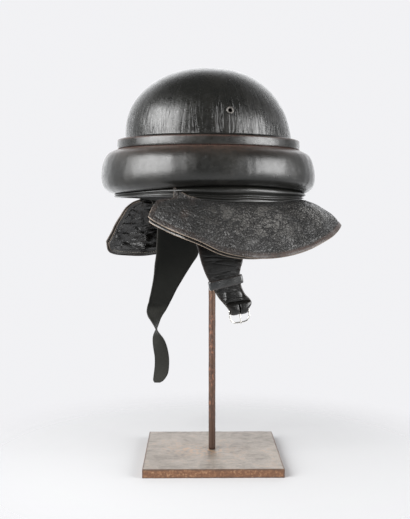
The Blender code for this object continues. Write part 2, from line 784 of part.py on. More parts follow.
def build_buckle(home, parent, material):
    """Wire buckle: a rounded frame whose bar runs in the strap's fold, and a prong looped on that bar."""
    half = 0.5 * FRAME_INNER_WIDTH + WIRE_RADIUS
    corners = ((half, 0.0), (half, -FRAME_DROP), (-half, -FRAME_DROP), (-half, 0.0))
    radii = (BAR_CORNER, FRAME_CORNER, FRAME_CORNER, BAR_CORNER)
    path = []
    for index, ((x, z), radius) in enumerate(zip(corners, radii)):
        centre_x = x - math.copysign(radius, x)
        centre_z = z - radius if z == 0.0 else z + radius
        for step in range(CORNER_STEPS + 1):
            angle = 0.5 * math.pi * (1.0 - index - step / CORNER_STEPS)
            path.append((centre_x + radius * math.cos(angle), 0.0, centre_z + radius * math.sin(angle)))
    frame = wire("buckle_frame", path, WIRE_RADIUS, True, material, home)
    place_on_bar(frame, parent)
    loop = WIRE_RADIUS + GAP + PRONG_RADIUS
    curl = []
    for degrees in np.linspace(PRONG_CURL_START, 180.0, PRONG_CURL_STEPS + 1):
        angle = math.radians(degrees)
        curl.append((0.0, -loop * math.cos(angle), loop * math.sin(angle)))
    tongue = [(0.0, loop, -share * PRONG_LENGTH) for share in PRONG_TONGUE_SHARES]
    prong = wire("buckle_prong", curl + tongue, PRONG_RADIUS, False, material, home)
    place_on_bar(prong, parent)


def right_strap_rows():
    """Rows of the right strap's middle face, which twists once near its end."""
    top = strap_top_row(1.0)
    rows = [top]
    for down, across, width, twist in RIGHT_STRAP_SHAPE:
        angle = math.radians(twist)
        fall = down * RIGHT_STRAP_LENGTH
        half = 0.5 * width * RIGHT_STRAP_WIDTH * np.array([math.cos(angle), math.sin(angle), 0.0])
        centre = np.array([across * RIGHT_STRAP_WIDTH, RIGHT_STRAP_PLANE, RIM_BOTTOM - fall])
        row = straight_row(centre - half, centre + half)
        straightened = eased(fall / STRAP_STRAIGHTENING)
        row[:, 1] = row[:, 1] * straightened + top[:, 1] * (1.0 - straightened)
        rows.append(row)
    return np.array(rows)


def build_right_strap(home, parent, material):
    """Long strap on the wearer's right, hanging free with a twist above its end."""
    rows = right_strap_rows()
    mesh = mesh_from(rows.reshape(-1, 3), grid_faces(*rows.shape[:2]))
    strap = link_piece("right_strap", mesh, material, home, parent)
    solidify(strap, STRAP_LEATHER, 0.0)


def build_plate(home, material):
    """Square steel plate of the stand."""
    bpy.ops.mesh.primitive_cube_add(size=1.0)
    plate = bpy.context.object
    plate.name = "stand_plate"
    plate.dimensions = (PLATE_SIDE, PLATE_SIDE, PLATE_THICKNESS)
    plate.location = (0.0, 0.0, 0.5 * PLATE_THICKNESS)
    plate.data.materials.append(material)
    bevel = plate.modifiers.new("worn edges", "BEVEL")
    bevel.width = PLATE_EDGE_BEVEL
    bevel.segments = 2
    for owner in list(plate.users_collection):
        owner.objects.unlink(plate)
    home.objects.link(plate)


def cap_inside():
    """Half-lengths and heights of the crown's inner face, with the clearance, out to the cap's edge."""
    rows = [crown_outline(row / CROWN_ROWS) for row in range(1, CROWN_ROWS)]
    below = (CROWN_WALL + GAP) * CAP_SLOPE_SHARE
    return [(half_length, height - below) for half_length, height in rows if half_length < CAP_HALF_LENGTH]


def build_cap_and_rod(home, parent, material):
    """Plain cap that carries the crown from inside, and the rod that carries the cap."""
    top = CROWN_TOP - CROWN_WALL - 2.0 * GAP
    rows = cap_inside()
    low = rows[-1][1] - CAP_THICKNESS
    points = [np.array([0.0, 0.0, top])]
    for half_length, height in rows + [(rows[-1][0], low)]:
        points += [crown_point(half_length, turn, height) for turn in ring_turns()]
    faces = [[0, 1 + step, 1 + (step + 1) % RING_STEPS] for step in range(RING_STEPS)]
    for quad in grid_faces(len(rows) + 1, RING_STEPS, closed_columns=True):
        faces.append([1 + corner for corner in quad])
    last = len(points) - RING_STEPS
    faces.append([last + step for step in range(RING_STEPS)])
    mesh = mesh_from(points, faces)
    turn_outward(mesh)
    link_piece("stand_cap", mesh, material, home, parent)
    foot = PLATE_THICKNESS + GAP
    head = low - GAP
    bpy.ops.mesh.primitive_cylinder_add(vertices=ROD_STEPS, radius=ROD_RADIUS, depth=head - foot)
    rod = bpy.context.object
    rod.name = "stand_rod"
    rod.location = (0.0, 0.0, 0.5 * (head + foot))
    rod.data.materials.append(material)
    bpy.ops.object.shade_smooth_by_angle(angle=ROD_SMOOTH_ANGLE)
    for owner in list(rod.users_collection):
        owner.objects.unlink(rod)
    home.objects.link(rod)


def main():
    """Builds the helmet on its stand."""
    clear_scene()
    home = new_collection("flight_helmet_on_a_stand")
    cutters = new_collection("cutters")
    place = bpy.data.objects.new("helmet_place", None)
    place.location = (HELMET_SHIFT, 0.0, 0.0)
    place.rotation_euler = (0.0, 0.0, HELMET_TURN)
    home.objects.link(place)
    leather, worn, lining, nickel, dark, pale, rusty = [new_material(*row) for row in MATERIALS]
    build_crown(home, cutters, place, leather)
    build_vents(home, place, dark)
    build_band(home, place, worn)
    build_inner_wall(home, place, lining)
    build_roll(home, place, leather)
    build_rim(home, place, leather)
    build_flap(home, place, worn, lining)
    build_left_strap(home, cutters, place, worn)
    build_keeper(home, place, leather)
    build_right_strap(home, place, worn)
    build_buckle(home, place, nickel)
    build_plate(home, pale)
    build_cap_and_rod(home, place, rusty)


main()
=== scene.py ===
"""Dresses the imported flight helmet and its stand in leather, thread, nickel wire and rusted steel.

Lengths are in metres. The helmet's own frame has +X to its back and +Y to the wearer's right, and
HelmetForm.place turns it into the row's frame.
"""

import logging
import math
from collections.abc import Sequence
from dataclasses import dataclass
from enum import Enum

import bmesh
import bpy
import numpy as np
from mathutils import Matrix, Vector
from mathutils import noise as field_noise


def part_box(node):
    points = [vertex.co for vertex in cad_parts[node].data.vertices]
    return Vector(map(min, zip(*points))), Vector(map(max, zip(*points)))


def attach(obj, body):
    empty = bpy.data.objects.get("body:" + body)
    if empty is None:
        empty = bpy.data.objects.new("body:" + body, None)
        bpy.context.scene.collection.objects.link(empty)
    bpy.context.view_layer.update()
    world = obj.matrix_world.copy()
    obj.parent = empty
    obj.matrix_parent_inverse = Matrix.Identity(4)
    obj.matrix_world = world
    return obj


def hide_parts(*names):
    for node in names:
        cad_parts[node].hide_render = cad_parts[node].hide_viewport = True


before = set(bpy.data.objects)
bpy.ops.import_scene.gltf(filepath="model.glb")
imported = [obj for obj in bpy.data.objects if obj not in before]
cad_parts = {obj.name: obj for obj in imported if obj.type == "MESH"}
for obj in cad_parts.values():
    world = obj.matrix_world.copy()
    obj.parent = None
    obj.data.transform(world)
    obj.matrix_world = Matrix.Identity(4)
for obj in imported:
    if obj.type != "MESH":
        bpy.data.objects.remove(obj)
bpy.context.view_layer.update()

LOG = logging.getLogger("flight_helmet")
STILL = "helmet_on_stand"

Colour = tuple[float, float, float]


class Side(Enum):
    """The wearer's two sides, as the sign of their Y."""

    LEFT = -1.0
    RIGHT = 1.0


class Surface(Enum):
    """What a face of a leather piece shows: its dyed grain, or raw leather at a cut edge or an inside."""

    GRAIN = 0
    RAW = 1


def eased(share: np.ndarray | float) -> np.ndarray | float:
    """Smooth step from 0 to 1."""
    share = np.clip(share, 0.0, 1.0)
    return share * share * (3.0 - 2.0 * share)


def bump_at(values: np.ndarray | float, centre: float, width: float) -> np.ndarray | float:
    """Soft bump of height 1 round a centre."""
    return np.exp(-(((values - centre) / width) ** 2))


def curve_through(places: Sequence[float], values: np.ndarray, at: np.ndarray) -> np.ndarray:
    """Reads a smooth curve through a table.

    Args:
        places: Increasing places of the table's rows.
        values: The table's rows, each a number or an array.
        at: Places to read.

    Returns:
        The curve's value at each place.
    """
    places, values, at = np.asarray(places, float), np.asarray(values, float), np.asarray(at, float)
    index = np.clip(np.searchsorted(places, at) - 1, 0, len(places) - 2)
    before, after = np.maximum(index - 1, 0), np.minimum(index + 2, len(places) - 1)
    shape = (-1,) + (1,) * (values.ndim - 1)
    span = places[index + 1] - places[index]
    share = ((at - places[index]) / span).reshape(shape)
    slope_in = (values[index + 1] - values[before]) * (span / (places[index + 1] - places[before])).reshape(shape)
    slope_out = (values[after] - values[index]) * (span / (places[after] - places[index])).reshape(shape)
    cube, square = share**3, share**2
    start = (2 * cube - 3 * square + 1) * values[index] + (cube - 2 * square + share) * slope_in
    return start + (3 * square - 2 * cube) * values[index + 1] + (cube - square) * slope_out


def crumple(points: np.ndarray, scale: Sequence[float] | float, octaves: int = 2, seed: float = 0.0) -> np.ndarray:
    """Smooth noise at each point.

    Args:
        points: Points, with their coordinates in the last axis.
        scale: How many waves there are in a metre, the same or one for each axis.
        octaves: How many sizes of wave are added.
        seed: Shift that gives another pattern.

    Returns:
        Values of about -1 to 1, one for each point.
    """
    flat = points.reshape(-1, 3) * np.asarray(scale, float) + seed
    found = [field_noise.fractal(Vector(point), 0.8, 2.0, octaves) for point in flat]
    return np.array(found).reshape(points.shape[:-1])


def ridged(values: np.ndarray) -> np.ndarray:
    """Turns smooth noise into sharp creases of depth 1 with flat land between them."""
    return -np.clip(1.0 - 3.2 * np.abs(values), 0.0, 1.0) ** 1.5


def quads(rows: int, columns: int, wrap_rows: bool = False, wrap_columns: bool = False) -> np.ndarray:
    """Lists the quads of a grid of points that are stored row by row."""
    row = np.arange(rows if wrap_rows else rows - 1)[:, None]
    column = np.arange(columns if wrap_columns else columns - 1)[None, :]
    below, beside = (row + 1) % rows, (column + 1) % columns
    corners = ((row, column), (below, column), (below, beside), (row, beside))
    return np.stack([(r * columns + c) for r, c in corners], axis=-1).reshape(-1, 4)


def grid_normals(grid: np.ndarray, wrap_columns: bool = False) -> np.ndarray:
    """Unit normals of a grid of points."""
    down = np.gradient(grid, axis=0)
    along = (np.roll(grid, -1, axis=1) - np.roll(grid, 1, axis=1)) if wrap_columns else np.gradient(grid, axis=1)
    normals = np.cross(along, down)
    return normals / np.maximum(np.linalg.norm(normals, axis=2, keepdims=True), 1e-12)


def ring_about(way: np.ndarray, steps: int) -> np.ndarray:
    """Unit vectors square to a direction, evenly spaced round it."""
    side = np.cross(way, (0.31, 0.93, 0.17))
    side /= np.linalg.norm(side)
    angle = 2.0 * np.pi * np.arange(steps) / steps
    return np.cos(angle)[:, None] * side + np.sin(angle)[:, None] * np.cross(way, side)


def store(mesh: bpy.types.Mesh, name: str, values: np.ndarray) -> None:
    """Stores a number or a vector at each point of a mesh, for its finish to read."""
    kind, key = ("FLOAT", "value") if values.ndim == 1 else ("FLOAT_VECTOR", "vector")
    mesh.attributes.new(name, kind, "POINT").data.foreach_set(key, values.astype(np.float32).ravel())


def cut_out(piece: bpy.types.Object, cutters: list[bpy.types.Object]) -> None:
    """Cuts other solids out of a piece, keeps the result and removes the cutters."""
    for cutter in cutters:
        cut = piece.modifiers.new(cutter.name, "BOOLEAN")
        cut.operation, cut.solver, cut.object = "DIFFERENCE", "EXACT", cutter
    bpy.context.view_layer.update()
    mesh = bpy.data.meshes.new_from_object(piece.evaluated_get(bpy.context.evaluated_depsgraph_get()))
    piece.modifiers.clear()
    piece.data = mesh
    for cutter in cutters:
        bpy.data.objects.remove(cutter, do_unlink=True)


@dataclass
class Skin:
    """Points and faces of a piece, with what its finish reads at each point."""

    points: np.ndarray
    faces: list[list[int]] | np.ndarray
    kinds: np.ndarray | None = None
    wear: np.ndarray | None = None
    lay: np.ndarray | None = None

    def build(self, name: str, *finishes: "Finish") -> bpy.types.Object:
        """Makes the closed piece, with its faces turned outward.

        Args:
            name: The piece's name.
            *finishes: The finish of each kind of face.

        Returns:
            The new object.
        """
        mesh = bpy.data.meshes.new(name)
        mesh.from_pydata(self.points.tolist(), [], [list(map(int, face)) for face in self.faces])
        if self.kinds is not None:
            mesh.polygons.foreach_set("material_index", np.asarray(self.kinds, np.int32))
        work = bmesh.new()
        work.from_mesh(mesh)
        bmesh.ops.recalc_face_normals(work, faces=work.faces)
        work.to_mesh(mesh)
        work.free()
        store(mesh, "wear", np.zeros(len(self.points)) if self.wear is None else self.wear)
        if self.lay is not None:
            store(mesh, "lay", self.lay)
        mesh.polygons.foreach_set("use_smooth", [True] * len(mesh.polygons))
        for finish in finishes:
            mesh.materials.append(finish.material())
        piece = bpy.data.objects.new(name, mesh)
        bpy.context.scene.collection.objects.link(piece)
        return piece


def thick_sheet(
    grid: np.ndarray, thickness: float, wear: np.ndarray, edge_wear: np.ndarray, bulge: float = 0.30
) -> Skin:
    """Gives a grid of points a thickness and rounded cut edges.

    Args:
        grid: Points of the middle face, in rows and columns.
        thickness: The sheet's thickness.
        wear: Wear at each point.
        edge_wear: Wear of the cut edge beside each point.
        bulge: How far the cut edge stands out, as a share of the thickness.

    Returns:
        The closed skin, with its cut edge as Surface.RAW.
    """
    rows, columns = grid.shape[:2]
    half = 0.5 * thickness
    normals = grid_normals(grid)
    index = np.arange(rows * columns).reshape(rows, columns)
    rim = np.concatenate([index[0, :-1], index[:-1, -1], index[-1, :0:-1], index[:0:-1, 0]])
    row, column = np.divmod(rim, columns)
    inner = grid[np.clip(row, 1, rows - 2), np.clip(column, 1, columns - 2)]
    edge = grid[row, column]
    outward = edge - inner
    outward /= np.maximum(np.linalg.norm(outward, axis=1, keepdims=True), 1e-12)
    middle = edge + outward * (thickness * bulge)
    count = rows * columns
    after = np.roll(np.arange(len(rim)), -1)
    front = quads(rows, columns)
    back = front[:, ::-1] + count
    start = 2 * count
    upper = np.stack([rim, rim[after], start + after, start + np.arange(len(rim))], axis=1)
    lower = np.stack([start + np.arange(len(rim)), start + after, rim[after] + count, rim + count], axis=1)
    points = np.concatenate([(grid + normals * half).reshape(-1, 3), (grid - normals * half).reshape(-1, 3), middle])
    kinds = [Surface.GRAIN.value] * (2 * len(front)) + [Surface.RAW.value] * (2 * len(rim))
    worn = np.concatenate([wear.ravel(), wear.ravel(), edge_wear[row, column]])
    return Skin(points, np.concatenate([front, back, upper, lower]), np.array(kinds), worn)


def tube(path: np.ndarray, radius: np.ndarray | float, sides: int, closed: bool = False) -> Skin:
    """Sweeps a circle along a path.

    Args:
        path: Points of the centreline.
        radius: The tube's radius, the same or one for each point.
        sides: How many sides the circle has.
        closed: Whether the path joins its own start.

    Returns:
        The tube's skin, with rounded ends where it is open.
    """
    radius = np.broadcast_to(radius, (len(path),)).astype(float)
    if not closed:
        first, last = path[0] - path[1], path[-1] - path[-2]
        first, last = first / np.linalg.norm(first), last / np.linalg.norm(last)
        shares = np.radians([75.0, 50.0, 25.0])
        start = [path[0] + first * radius[0] * math.sin(a) for a in shares]
        end = [path[-1] + last * radius[-1] * math.sin(a) for a in shares[::-1]]
        thin = np.cos(shares)
        path = np.concatenate([start, path, end])
        radius = np.concatenate([radius[0] * thin, radius, radius[-1] * thin[::-1]])
    ahead = np.roll(path, -1, axis=0) - np.roll(path, 1, axis=0) if closed else np.gradient(path, axis=0)
    ahead /= np.linalg.norm(ahead, axis=1, keepdims=True)
    side = np.cross(ahead[0], (0.31, 0.17, 0.93))
    rings = []
    angles = 2.0 * np.pi * np.arange(sides) / sides
    for place, way, size in zip(path, ahead, radius):
        side = side - way * np.dot(side, way)
        side = side / np.linalg.norm(side)
        other = np.cross(way, side)
        rings.append(place + size * (np.cos(angles)[:, None] * side + np.sin(angles)[:, None] * other))
    faces = quads(len(path), sides, wrap_rows=closed, wrap_columns=True).tolist()
    if not closed:
        faces += [list(range(sides)), [(len(path) - 1) * sides + k for k in range(sides)]]
    return Skin(np.concatenate(rings), faces)


class Value:
    """A shader socket in arithmetic: each operation on it adds its Math node."""

    def __init__(self, tree: "Tree", socket: bpy.types.NodeSocket) -> None:
        """Wraps a socket of a tree."""
        self.tree, self.socket = tree, socket

    def _math(self, operation: str, *terms: "Value | float", clamp: bool = False) -> "Value":
        """Adds a Math node on these terms."""
        return self.tree.add("ShaderNodeMath", {"operation": operation, "use_clamp": clamp}, dict(enumerate(terms)))

    def __add__(self, other: "Value | float") -> "Value":
        """Sum."""
        return self._math("ADD", self, other)

    __radd__ = __add__

    def __sub__(self, other: "Value | float") -> "Value":
        """Difference."""
        return self._math("SUBTRACT", self, other)

    def __rsub__(self, other: float) -> "Value":
        """Difference from a number."""
        return self._math("SUBTRACT", other, self)

    def __mul__(self, other: "Value | float") -> "Value":
        """Product."""
        return self._math("MULTIPLY", self, other)

    __rmul__ = __mul__

    def __abs__(self) -> "Value":
        """Size without sign."""
        return self._math("ABSOLUTE", self)

    def clamped(self) -> "Value":
        """The value held between 0 and 1."""
        return self._math("ADD", self, 0.0, clamp=True)

    def at_least(self, other: "Value") -> "Value":
        """The greater of two values."""
        return self._math("MAXIMUM", self, other)

    def ramp(self, low: float, high: float, first: float = 0.0, last: float = 1.0) -> "Value":
        """Smooth ramp from a first value at low to a last value at high."""
        settings = {"interpolation_type": "SMOOTHSTEP"}
        return self.tree.add("ShaderNodeMapRange", settings, {0: self, 1: low, 2: high, 3: first, 4: last})

    def step(self, low: float, high: float) -> "Value":
        """Smooth step: 0 at low and 1 at high, or the other way round where low is the greater."""
        return self.ramp(low, high) if low < high else 1.0 - self.ramp(high, low)


class Tree:
    """A tree of shader nodes."""

    def __init__(self, nodes: bpy.types.ShaderNodeTree) -> None:
        """Wraps a node tree."""
        self.tree = nodes

    def _set(self, target: bpy.types.NodeSocket, value: "Value | float | Sequence[float]") -> None:
        """Links a socket or sets its own value."""
        if isinstance(value, Value):
            self.tree.links.new(value.socket, target)
        elif isinstance(value, (int, float)):
            target.default_value = value
        else:
            wide = len(target.default_value)
            target.default_value = (*value, 1.0) if wide == 4 and len(value) == 3 else tuple(value)

    def add(self, kind: str, settings: dict, sockets: dict, out: int | str = 0) -> Value:
        """Adds a node.

        Args:
            kind: The node's type.
            settings: Its settings, which are set first.
            sockets: What each input takes, by its index or name.
            out: The output to hand back, by its index or name.

        Returns:
            The output socket.
        """
        node = self.tree.nodes.new(kind)
        for key, value in settings.items():
            setattr(node, key, value)
        for key, value in sockets.items():
            self._set(node.inputs[key], value)
        return Value(self, node.outputs[out])

    def split(self, vector: Value) -> tuple[Value, ...]:
        """The three parts of a vector."""
        parts = self.add("ShaderNodeSeparateXYZ", {}, {0: vector}).socket.node.outputs
        return tuple(Value(self, part) for part in parts)

    def show(self, surface: Value) -> None:
        """Puts a shader on the tree's own output."""
        output = next(node for node in self.tree.nodes if node.name.endswith("Output"))
        self.tree.links.new(surface.socket, output.inputs["Surface"])


class Net(Tree):
    """A material's node tree, with its Principled shader."""

    def __init__(self, name: str) -> None:
        """Starts a material with one Principled shader."""
        self.material = bpy.data.materials.new(name)
        self.material.use_nodes = True
        super().__init__(self.material.node_tree)
        self.shader = self.tree.nodes["Principled BSDF"]

    def blend(self, share: Value | float, first: Value | Colour, second: Value | Colour) -> Value:
        """Mixes two colours."""
        return self.add("ShaderNodeMix", {"data_type": "RGBA"}, {0: share, 6: first, 7: second}, 2)

    def place(self, scale: Sequence[float] = (1.0, 1.0, 1.0), shift: Sequence[float] = (0.0, 0.0, 0.0)) -> Value:
        """The point's own coordinates, scaled and shifted."""
        here = self.add("ShaderNodeTexCoord", {}, {}, "Object")
        return self.add("ShaderNodeVectorMath", {"operation": "MULTIPLY_ADD"}, {0: here, 1: scale, 2: shift})

    def lay(self, scale: Sequence[float]) -> Value:
        """The point's place round the crown and up it, scaled."""
        here = self.add("ShaderNodeAttribute", {"attribute_name": "lay"}, {}, "Vector")
        return self.add("ShaderNodeVectorMath", {"operation": "MULTIPLY"}, {0: here, 1: scale})

    def wear(self) -> Value:
        """The wear that the mesh carries."""
        return self.add("ShaderNodeAttribute", {"attribute_name": "wear"}, {}, "Fac")

    def clouds(
        self, where: Value, scale: float, detail: float = 3.0, rough: float = 0.55, twist: float = 0.0
    ) -> Value:
        """Noise of about 0.3 to 0.7."""
        sockets = {"Vector": where, "Scale": scale, "Detail": detail, "Roughness": rough, "Distortion": twist}
        return self.add("ShaderNodeTexNoise", {}, sockets, "Fac")

    def veins(self, where: Value, scale: float, *noise: float) -> Value:
        """Noise that is 0 along thin wandering lines and rises between them."""
        return abs(self.clouds(where, scale, *noise) - 0.5)

    def cells(self, where: Value, scale: float) -> Value:
        """Distance to the nearest border between cells."""
        settings = {"feature": "DISTANCE_TO_EDGE"}
        return self.add("ShaderNodeTexVoronoi", settings, {"Vector": where, "Scale": scale}, "Distance")

    def warped(self, where: Value, scale: float, amount: float) -> Value:
        """Coordinates pushed about by noise."""
        sockets = {"Vector": where, "Scale": scale, "Detail": 2.0}
        push = self.add("ShaderNodeTexNoise", {}, sockets, "Color")
        settings = {"operation": "MULTIPLY_ADD"}
        return self.add("ShaderNodeVectorMath", settings, {0: push, 1: (amount,) * 3, 2: where})

    def dress(self, height: Value | None = None, **sockets: Value | float | Sequence[float]) -> bpy.types.Material:
        """Fills the Principled shader.

        Args:
            height: Relief in metres, which goes through one Bump node.
            **sockets: Its inputs by name, with _ for a space.

        Returns:
            The finished material.
        """
        for key, value in sockets.items():
            self._set(self.shader.inputs[key.replace("_", " ")], value)
        if height is not None:
            relief = self.add("ShaderNodeBump", {}, {"Strength": 1.0, "Distance": 1.0, "Height": height})
            self._set(self.shader.inputs["Normal"], relief)
        return self.material


@dataclass(frozen=True)
class Finish:
    """A finish, made into a material once."""

    name: str

    def material(self) -> bpy.types.Material:
        """The finish's material, made on first use."""
        return bpy.data.materials.get(self.name) or self.make()

    def make(self) -> bpy.types.Material:
        """Makes the material."""
        raise NotImplementedError


@dataclass(frozen=True)
class Leather(Finish):
    """Dyed leather: its colours, its gloss, and how deep each kind of relief is.

    Wear above 0 is rubbed through to brown, and wear below 0 mixes in a lighter grey of chafing, which on the flap
    also paints its sheen. Pores, creases and wrinkles are darkened as painted shade.
    """

    tone: Colour = (0.0056, 0.0057, 0.0047)
    faded: Colour = (0.017, 0.0155, 0.0125)
    rubbed: Colour = (0.050, 0.026, 0.018)
    # Lighter grey of chafing, also used as the flap's painted sheen.
    chafing_sheen_tone: Colour = (0.040, 0.037, 0.033)
    roughness: float = 0.30
    polish: float = 0.13
    coat: float = 0.35
    coat_roughness: float = 0.19
    shine: float = 0.5
    fade: float = 0.45
    grain: float = 0.00005
    grain_scale: float = 900.0
    pebble: float = 0.0
    pebble_scale: float = 300.0
    crinkle: float = 0.0
    crinkle_scale: float = 70.0
    crinkle_stretch: Sequence[float] = (1.0, 1.0, 1.0)
    streaks: float = 0.0
    lumps: float = 0.00035
    dapple: float = 0.00006

    def make(self) -> bpy.types.Material:
        """Makes the material."""
        net = Net(self.name)
        here = net.place()
        wear = net.wear()
        patches = net.clouds(here, 24.0, 4.0, 0.6)
        fine = net.clouds(here, 210.0, 3.0, 0.6)
        pores = net.cells(net.warped(here, 160.0, 0.0015), self.grain_scale).step(0.0, 0.35)
        mottle = net.clouds(here, 240.0, 2.0, 0.5)
        height = pores * self.grain + net.clouds(here, 55.0, 2.0) * self.lumps + mottle * self.dapple
        # Mask of painted shade for hollow places: pores here, and creases and wrinkles added below.
        hollow_shade = (1.0 - pores) * 0.25
        dull = wear.clamped() * 0.22
        if self.pebble:
            relief, sunk = self._pebbles(net, here, wear)
            height = height + relief * self.pebble
            hollow_shade = hollow_shade + sunk
            dull = dull + sunk * 0.55
        if self.crinkle:
            relief, sunk = self._crinkles(net, wear)
            height = height + relief * self.crinkle
            hollow_shade = hollow_shade + sunk * 0.5
        if self.streaks:
            furrows = self._streaks(net)
            height = height - furrows * self.streaks
            # Painted shade in the wrinkles' furrows.
            hollow_shade = hollow_shade + furrows.step(0.15, 0.85) * 0.6
        tone = net.blend((patches.step(0.40, 0.70) * self.fade).clamped(), self.tone, self.faded)
        # Painted shade: the masked hollow places darken towards a quarter of the tone.
        tone = net.blend((hollow_shade * 0.9).clamped(), tone, tuple(0.25 * c for c in self.tone))
        # Lighter grey from negative wear: chafing, and on the flap also painted sheen.
        chafing_and_sheen = (wear * -1.0).clamped() * (patches.step(0.30, 0.62) * 0.2 + 0.8)
        tone = net.blend((chafing_and_sheen * (1.0 - hollow_shade).clamped()).clamped(), tone, self.chafing_sheen_tone)
        rubbed = (wear * (fine.step(0.32, 0.60) * 0.7 + 0.45)).clamped()
        tone = net.blend(rubbed, tone, self.rubbed)
        scuffs = net.clouds(here, 85.0, 4.0, 0.6) - 0.5
        gloss = self.roughness + ((patches - 0.5) + (mottle - 0.5) + scuffs * 1.3) * self.polish + dull
        return net.dress(
            height,
            Base_Color=tone,
            Roughness=gloss.clamped(),
            Coat_Weight=((1.0 - hollow_shade.clamped() * 0.9) * self.coat).clamped(),
            Coat_Roughness=self.coat_roughness,
            Specular_IOR_Level=self.shine,
        )

    def _pebbles(self, net: Net, here: Value, wear: Value) -> tuple[Value, Value]:
        """Relief of shrunken grain and a mask that paints shade into its creases, both pressed flat along a hem."""
        coarse = net.cells(net.warped(here, 90.0, 0.007), self.pebble_scale)
        small = net.cells(net.warped(here, 150.0, 0.003), self.pebble_scale * 2.3)
        hem = 1.0 - wear.step(0.15, 0.45) * 0.85
        strength = (net.clouds(here, 17.0, 2.0).step(0.30, 0.54) * 0.4 + 0.6) * hem
        slanted = net.warped(net.place((0.7, 0.7, 1.0)), 60.0, 0.005)
        lines = net.veins(slanted, 150.0, 2.0, 0.6).step(0.04, 0.0)
        relief = coarse.step(0.0, 0.45) + small.step(0.0, 0.40) * 0.25 - lines * 0.35
        # Painted shade: this crease mask darkens the creases between the pebbles and along the grain lines.
        sunk = (coarse.step(0.11, 0.01) * 0.95 + lines * 0.80).clamped()
        return relief * strength, sunk * strength

    def _crinkles(self, net: Net, wear: Value) -> tuple[Value, Value]:
        """Relief of crushed thin leather and a mask that paints shade into its creases, both flat where it is sewn
        down.
        """
        bent = net.warped(net.place(self.crinkle_stretch), 22.0, 0.030)
        crossing = net.warped(net.place(self.crinkle_stretch, (3.1, 1.7, 5.3)), 35.0, 0.020)
        folds = net.veins(bent, self.crinkle_scale, 1.5, 0.5).step(0.0, 0.12)
        cross = net.veins(crossing, 0.55 * self.crinkle_scale, 1.5).step(0.0, 0.09)
        flat = 1.0 - wear.step(0.05, 0.20)
        return (folds + cross * 0.8) * flat, (1.0 - folds) * flat

    def _streaks(self, net: Net) -> Value:
        """Depth of the upright wrinkles over the crown's foot, in clusters; it shapes them and paints shade into
        their furrows.
        """
        fine = net.veins(net.lay((1.0, 1.0, 0.06)), 250.0, 2.0, 0.5, 0.15).step(0.06, 0.0)
        wide = net.veins(net.lay((1.0, 1.0, 0.10)), 110.0, 2.0, 0.5, 0.25).step(0.045, 0.0)
        hair = net.clouds(net.lay((1.0, 1.0, 0.03)), 520.0, 2.0)
        rise = net.split(net.lay((1.0, 1.0, 1.0)))[2]
        low = rise.step(0.080, 0.026) * 0.93 + 0.07
        cluster = net.clouds(net.lay((1.0, 1.0, 0.4)), 24.0, 1.0).step(0.38, 0.56) * 0.75 + 0.25
        return (fine * 0.55 + wide) * low * cluster + hair * 0.16


@dataclass(frozen=True)
class CutEdge(Finish):
    """Raw cut edge of leather: black where it was dyed, tan where its fibres show."""

    dyed: Colour = (0.020, 0.015, 0.013)
    fibre: Colour = (0.520, 0.410, 0.315)

    def make(self) -> bpy.types.Material:
        """Makes the material."""
        net = Net(self.name)
        here = net.place()
        strands = net.clouds(here, 520.0, 4.0, 0.65)
        scuffs = net.clouds(here, 90.0, 3.0, 0.6)
        shown = (net.wear() * (scuffs.step(0.30, 0.52) * 0.6 + 0.4)).clamped()
        tone = net.blend(shown, self.dyed, self.fibre)
        tone = net.blend(strands.step(0.62, 0.40) * 0.35, tone, self.dyed)
        return net.dress(strands * 0.0002, Base_Color=tone, Roughness=(0.62 + strands * 0.2).clamped())


@dataclass(frozen=True)
class Thread(Finish):
    """Waxed sewing thread."""

    tone: Colour = (0.060, 0.045, 0.036)

    def make(self) -> bpy.types.Material:
        """Makes the material."""
        net = Net(self.name)
        here = net.place()
        twist = net.clouds(here, 1500.0, 2.0)
        soil = net.clouds(here, 60.0, 2.0).step(0.40, 0.62)
        tone = net.blend(soil * 0.6, self.tone, tuple(0.35 * c for c in self.tone))
        return net.dress(twist * 0.00008, Base_Color=tone, Roughness=(0.50 + twist * 0.25).clamped())


@dataclass(frozen=True)
class Wire(Finish):
    """Polished or blackened wire and eyelets, with rubbed spots."""

    tone: Colour = (0.74, 0.72, 0.68)
    stain: Colour = (0.22, 0.17, 0.12)
    metal: float = 1.0
    roughness: float = 0.20

    def make(self) -> bpy.types.Material:
        """Makes the material."""
        net = Net(self.name)
        here = net.place()
        spots = net.clouds(here, 260.0, 4.0, 0.6)
        fine = net.clouds(here, 1300.0, 2.0)
        tone = net.blend(spots.step(0.50, 0.68) * 0.75, self.tone, self.stain)
        rough = (self.roughness + spots.step(0.45, 0.70) * 0.25 + (fine - 0.5) * 0.1).clamped()
        metal = (self.metal - spots.step(0.56, 0.72) * 0.3).clamped()
        return net.dress(fine * 0.00003 + spots * 0.00010, Base_Color=tone, Roughness=rough, Metallic=metal)


